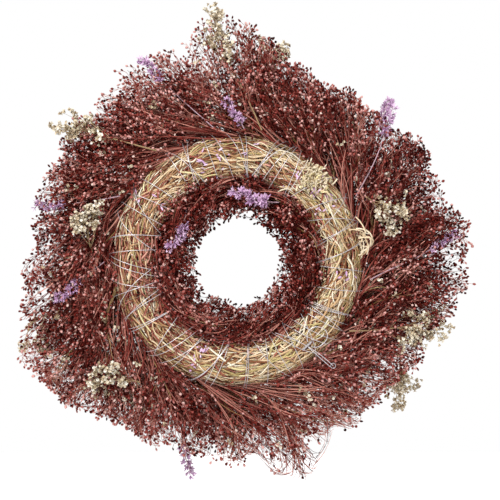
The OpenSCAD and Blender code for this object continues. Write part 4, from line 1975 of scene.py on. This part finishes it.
@dataclass
class Studio:
    """White surroundings, soft light, a pale floor and the camera."""

    distance: float = 1.4
    field: float = 400 * MM
    sensor: float = 36.0
    aim_x: float = 10.4 * MM
    aim_y: float = 8.8 * MM
    ambient: float = 0.44

    def build(self) -> None:
        """Sets up world, lights, floor and camera."""
        scene = bpy.context.scene
        scene.view_settings.view_transform = "Standard"
        world = bpy.data.worlds.new("Studio")
        scene.world = world
        world.use_nodes = True
        nodes, links = world.node_tree.nodes, world.node_tree.links
        background = nodes["Background"]
        background.inputs["Color"].default_value = (1, 1, 1, 1)
        seen = nodes.new("ShaderNodeLightPath")
        strength = nodes.new("ShaderNodeMix")
        strength.inputs["A"].default_value = self.ambient
        strength.inputs["B"].default_value = 1.0
        links.new(seen.outputs["Is Camera Ray"], strength.inputs["Factor"])
        links.new(strength.outputs["Result"], background.inputs["Strength"])
        self.floor()
        self.lamp("Key", (0.7, 1.2, 1.1), watts=31.0, size=0.4)
        self.lamp("Fill", (-1.1, 1.2, 0.3), watts=7.0, size=0.9)
        self.lamp("FrontKey", (-0.7, -1.3, 0.9), watts=24.0, size=0.7)
        self.camera()

    def floor(self) -> None:
        """Adds the pale floor, below the hanging wreath."""
        low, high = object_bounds()
        size, z = 1.0, low.z - 90 * MM
        mesh = bpy.data.meshes.new("Floor")
        corners = [(-size, -size, z), (size, -size, z), (size, size, z), (-size, size, z)]
        mesh.from_pydata(corners, [], [(0, 1, 2, 3)])
        floor = bpy.data.objects.new("Floor", mesh)
        mesh.materials.append(self.plaster())
        bpy.context.scene.collection.objects.link(floor)
        floor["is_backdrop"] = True

    @staticmethod
    def plaster() -> Material:
        """Makes the floor's material.

        Returns:
            A pale matt material with a fine, uneven surface.
        """
        material = bpy.data.materials.new("Plaster")
        material.use_nodes = True
        nodes, links = material.node_tree.nodes, material.node_tree.links
        shader = nodes["Principled BSDF"]
        shader.inputs["Base Color"].default_value = (0.9, 0.9, 0.9, 1)
        noise = nodes.new("ShaderNodeTexNoise")
        noise.inputs["Scale"].default_value = 180.0
        noise.inputs["Detail"].default_value = 4.0
        place = nodes.new("ShaderNodeTexCoord")
        links.new(place.outputs["Object"], noise.inputs["Vector"])
        rough = nodes.new("ShaderNodeMapRange")
        rough.inputs["To Min"].default_value = 0.75
        rough.inputs["To Max"].default_value = 0.98
        links.new(noise.outputs["Fac"], rough.inputs["Value"])
        links.new(rough.outputs["Result"], shader.inputs["Roughness"])
        bump = nodes.new("ShaderNodeBump")
        bump.inputs["Strength"].default_value = 0.15
        bump.inputs["Distance"].default_value = 0.2 * MM
        links.new(noise.outputs["Fac"], bump.inputs["Height"])
        links.new(bump.outputs["Normal"], shader.inputs["Normal"])
        return material

    def lamp(self, name: str, place: tuple[float, float, float], watts: float, size: float) -> None:
        """Adds a soft square lamp that looks at the wreath's middle.

        Args:
            name: Its name.
            place: Where it stands.
            watts: Its power.
            size: Length of its side.
        """
        light = bpy.data.lights.new(name, "AREA")
        light.energy, light.size = watts, size
        lamp = bpy.data.objects.new(name, light)
        bpy.context.scene.collection.objects.link(lamp)
        where = np.array(place)
        aim = np.array([0, 0, PLAN.height]) - where
        lamp.location = place
        lamp.rotation_mode = "QUATERNION"
        lamp.rotation_quaternion = Vector(aim).to_track_quat("-Z", "Y")

    def camera(self) -> None:
        """Adds the camera, straight behind the wreath."""
        data = bpy.data.cameras.new("Camera")
        data.sensor_width = self.sensor
        data.lens = self.sensor * self.distance / self.field
        camera = bpy.data.objects.new("Camera", data)
        bpy.context.scene.collection.objects.link(camera)
        camera.location = (-self.aim_x, PLAN.straw_r + self.distance, PLAN.height + self.aim_y)
        camera.rotation_euler = (math.pi / 2, 0, math.pi)
        bpy.context.scene.camera = camera


def thread_places(places: int = 36) -> tuple[float, ...]:
    """Angles in degrees where the ring's thread crosses the back, evenly spread."""
    return tuple(360 / places * k for k in range(places))


def wire_places(places: int = 36) -> tuple[float, ...]:
    """Angles in degrees where the binding wire crosses the back, in groups of one to three strands.

    Args:
        places: Number of groups round the ring.

    Returns:
        The angles, in order.
    """
    rng = np.random.default_rng(23)
    half_group = 2.4  # half of the angle that a group's strands spread over, in degrees
    angles = []
    for k in range(places):
        strands = rng.choice([1, 2, 3], p=[0.45, 0.3, 0.25])
        middle = (k + 0.5 + rng.uniform(-0.25, 0.25)) * 360 / places
        angles += list(middle + np.sort(rng.uniform(-half_group, half_group, strands)))
    return tuple(angles)


def main() -> None:
    """Builds the wreath piece by piece, then the studio round it."""
    logging.basicConfig(level=logging.INFO, format="%(name)s %(message)s")
    burgundy, straw, wire = BURGUNDY.build(), STRAW.build(), WIRE.build()
    thread, cream, lilac = THREAD.build(), CREAM.build(), LILAC.build()
    StrawRing(straw).build()
    StrawEnds(straw).build()
    Winding(
        node="base_thread", material=thread, slot="thread", places=thread_places(),
        wire_r=0.18 * MM, slack=0.5 * MM, slant=2.0, seed=21,
    ).build()
    Winding(
        node="binding_wire", material=wire, slot="wire", places=wire_places(),
        wire_r=0.24 * MM, slack=1.2 * MM, slant=11.0, seed=22,
    ).build()
    Tie(wire).build()
    Crumbs(burgundy, lilac).build()
    kinds = {"outer_bunch": OuterBunch, "front_bunch": FrontBunch, "inner_bunch": InnerBunch}
    for stem, kind in kinds.items():
        names = nodes_named(stem)
        for index, name in enumerate(names):
            kind(index, len(names), Solid.read(name, PLAN), burgundy).grow(name)
    for index, name in enumerate(nodes_named("cream_sprig")):
        CreamSprig(name, 700 + index, cream).build()
    StrayCream(cream).build()
    for index, name in enumerate(nodes_named("lilac_spike")):
        LilacSpike(name, 800 + index, lilac).build()
    Studio().build()


if __name__ == "__main__":
    main()
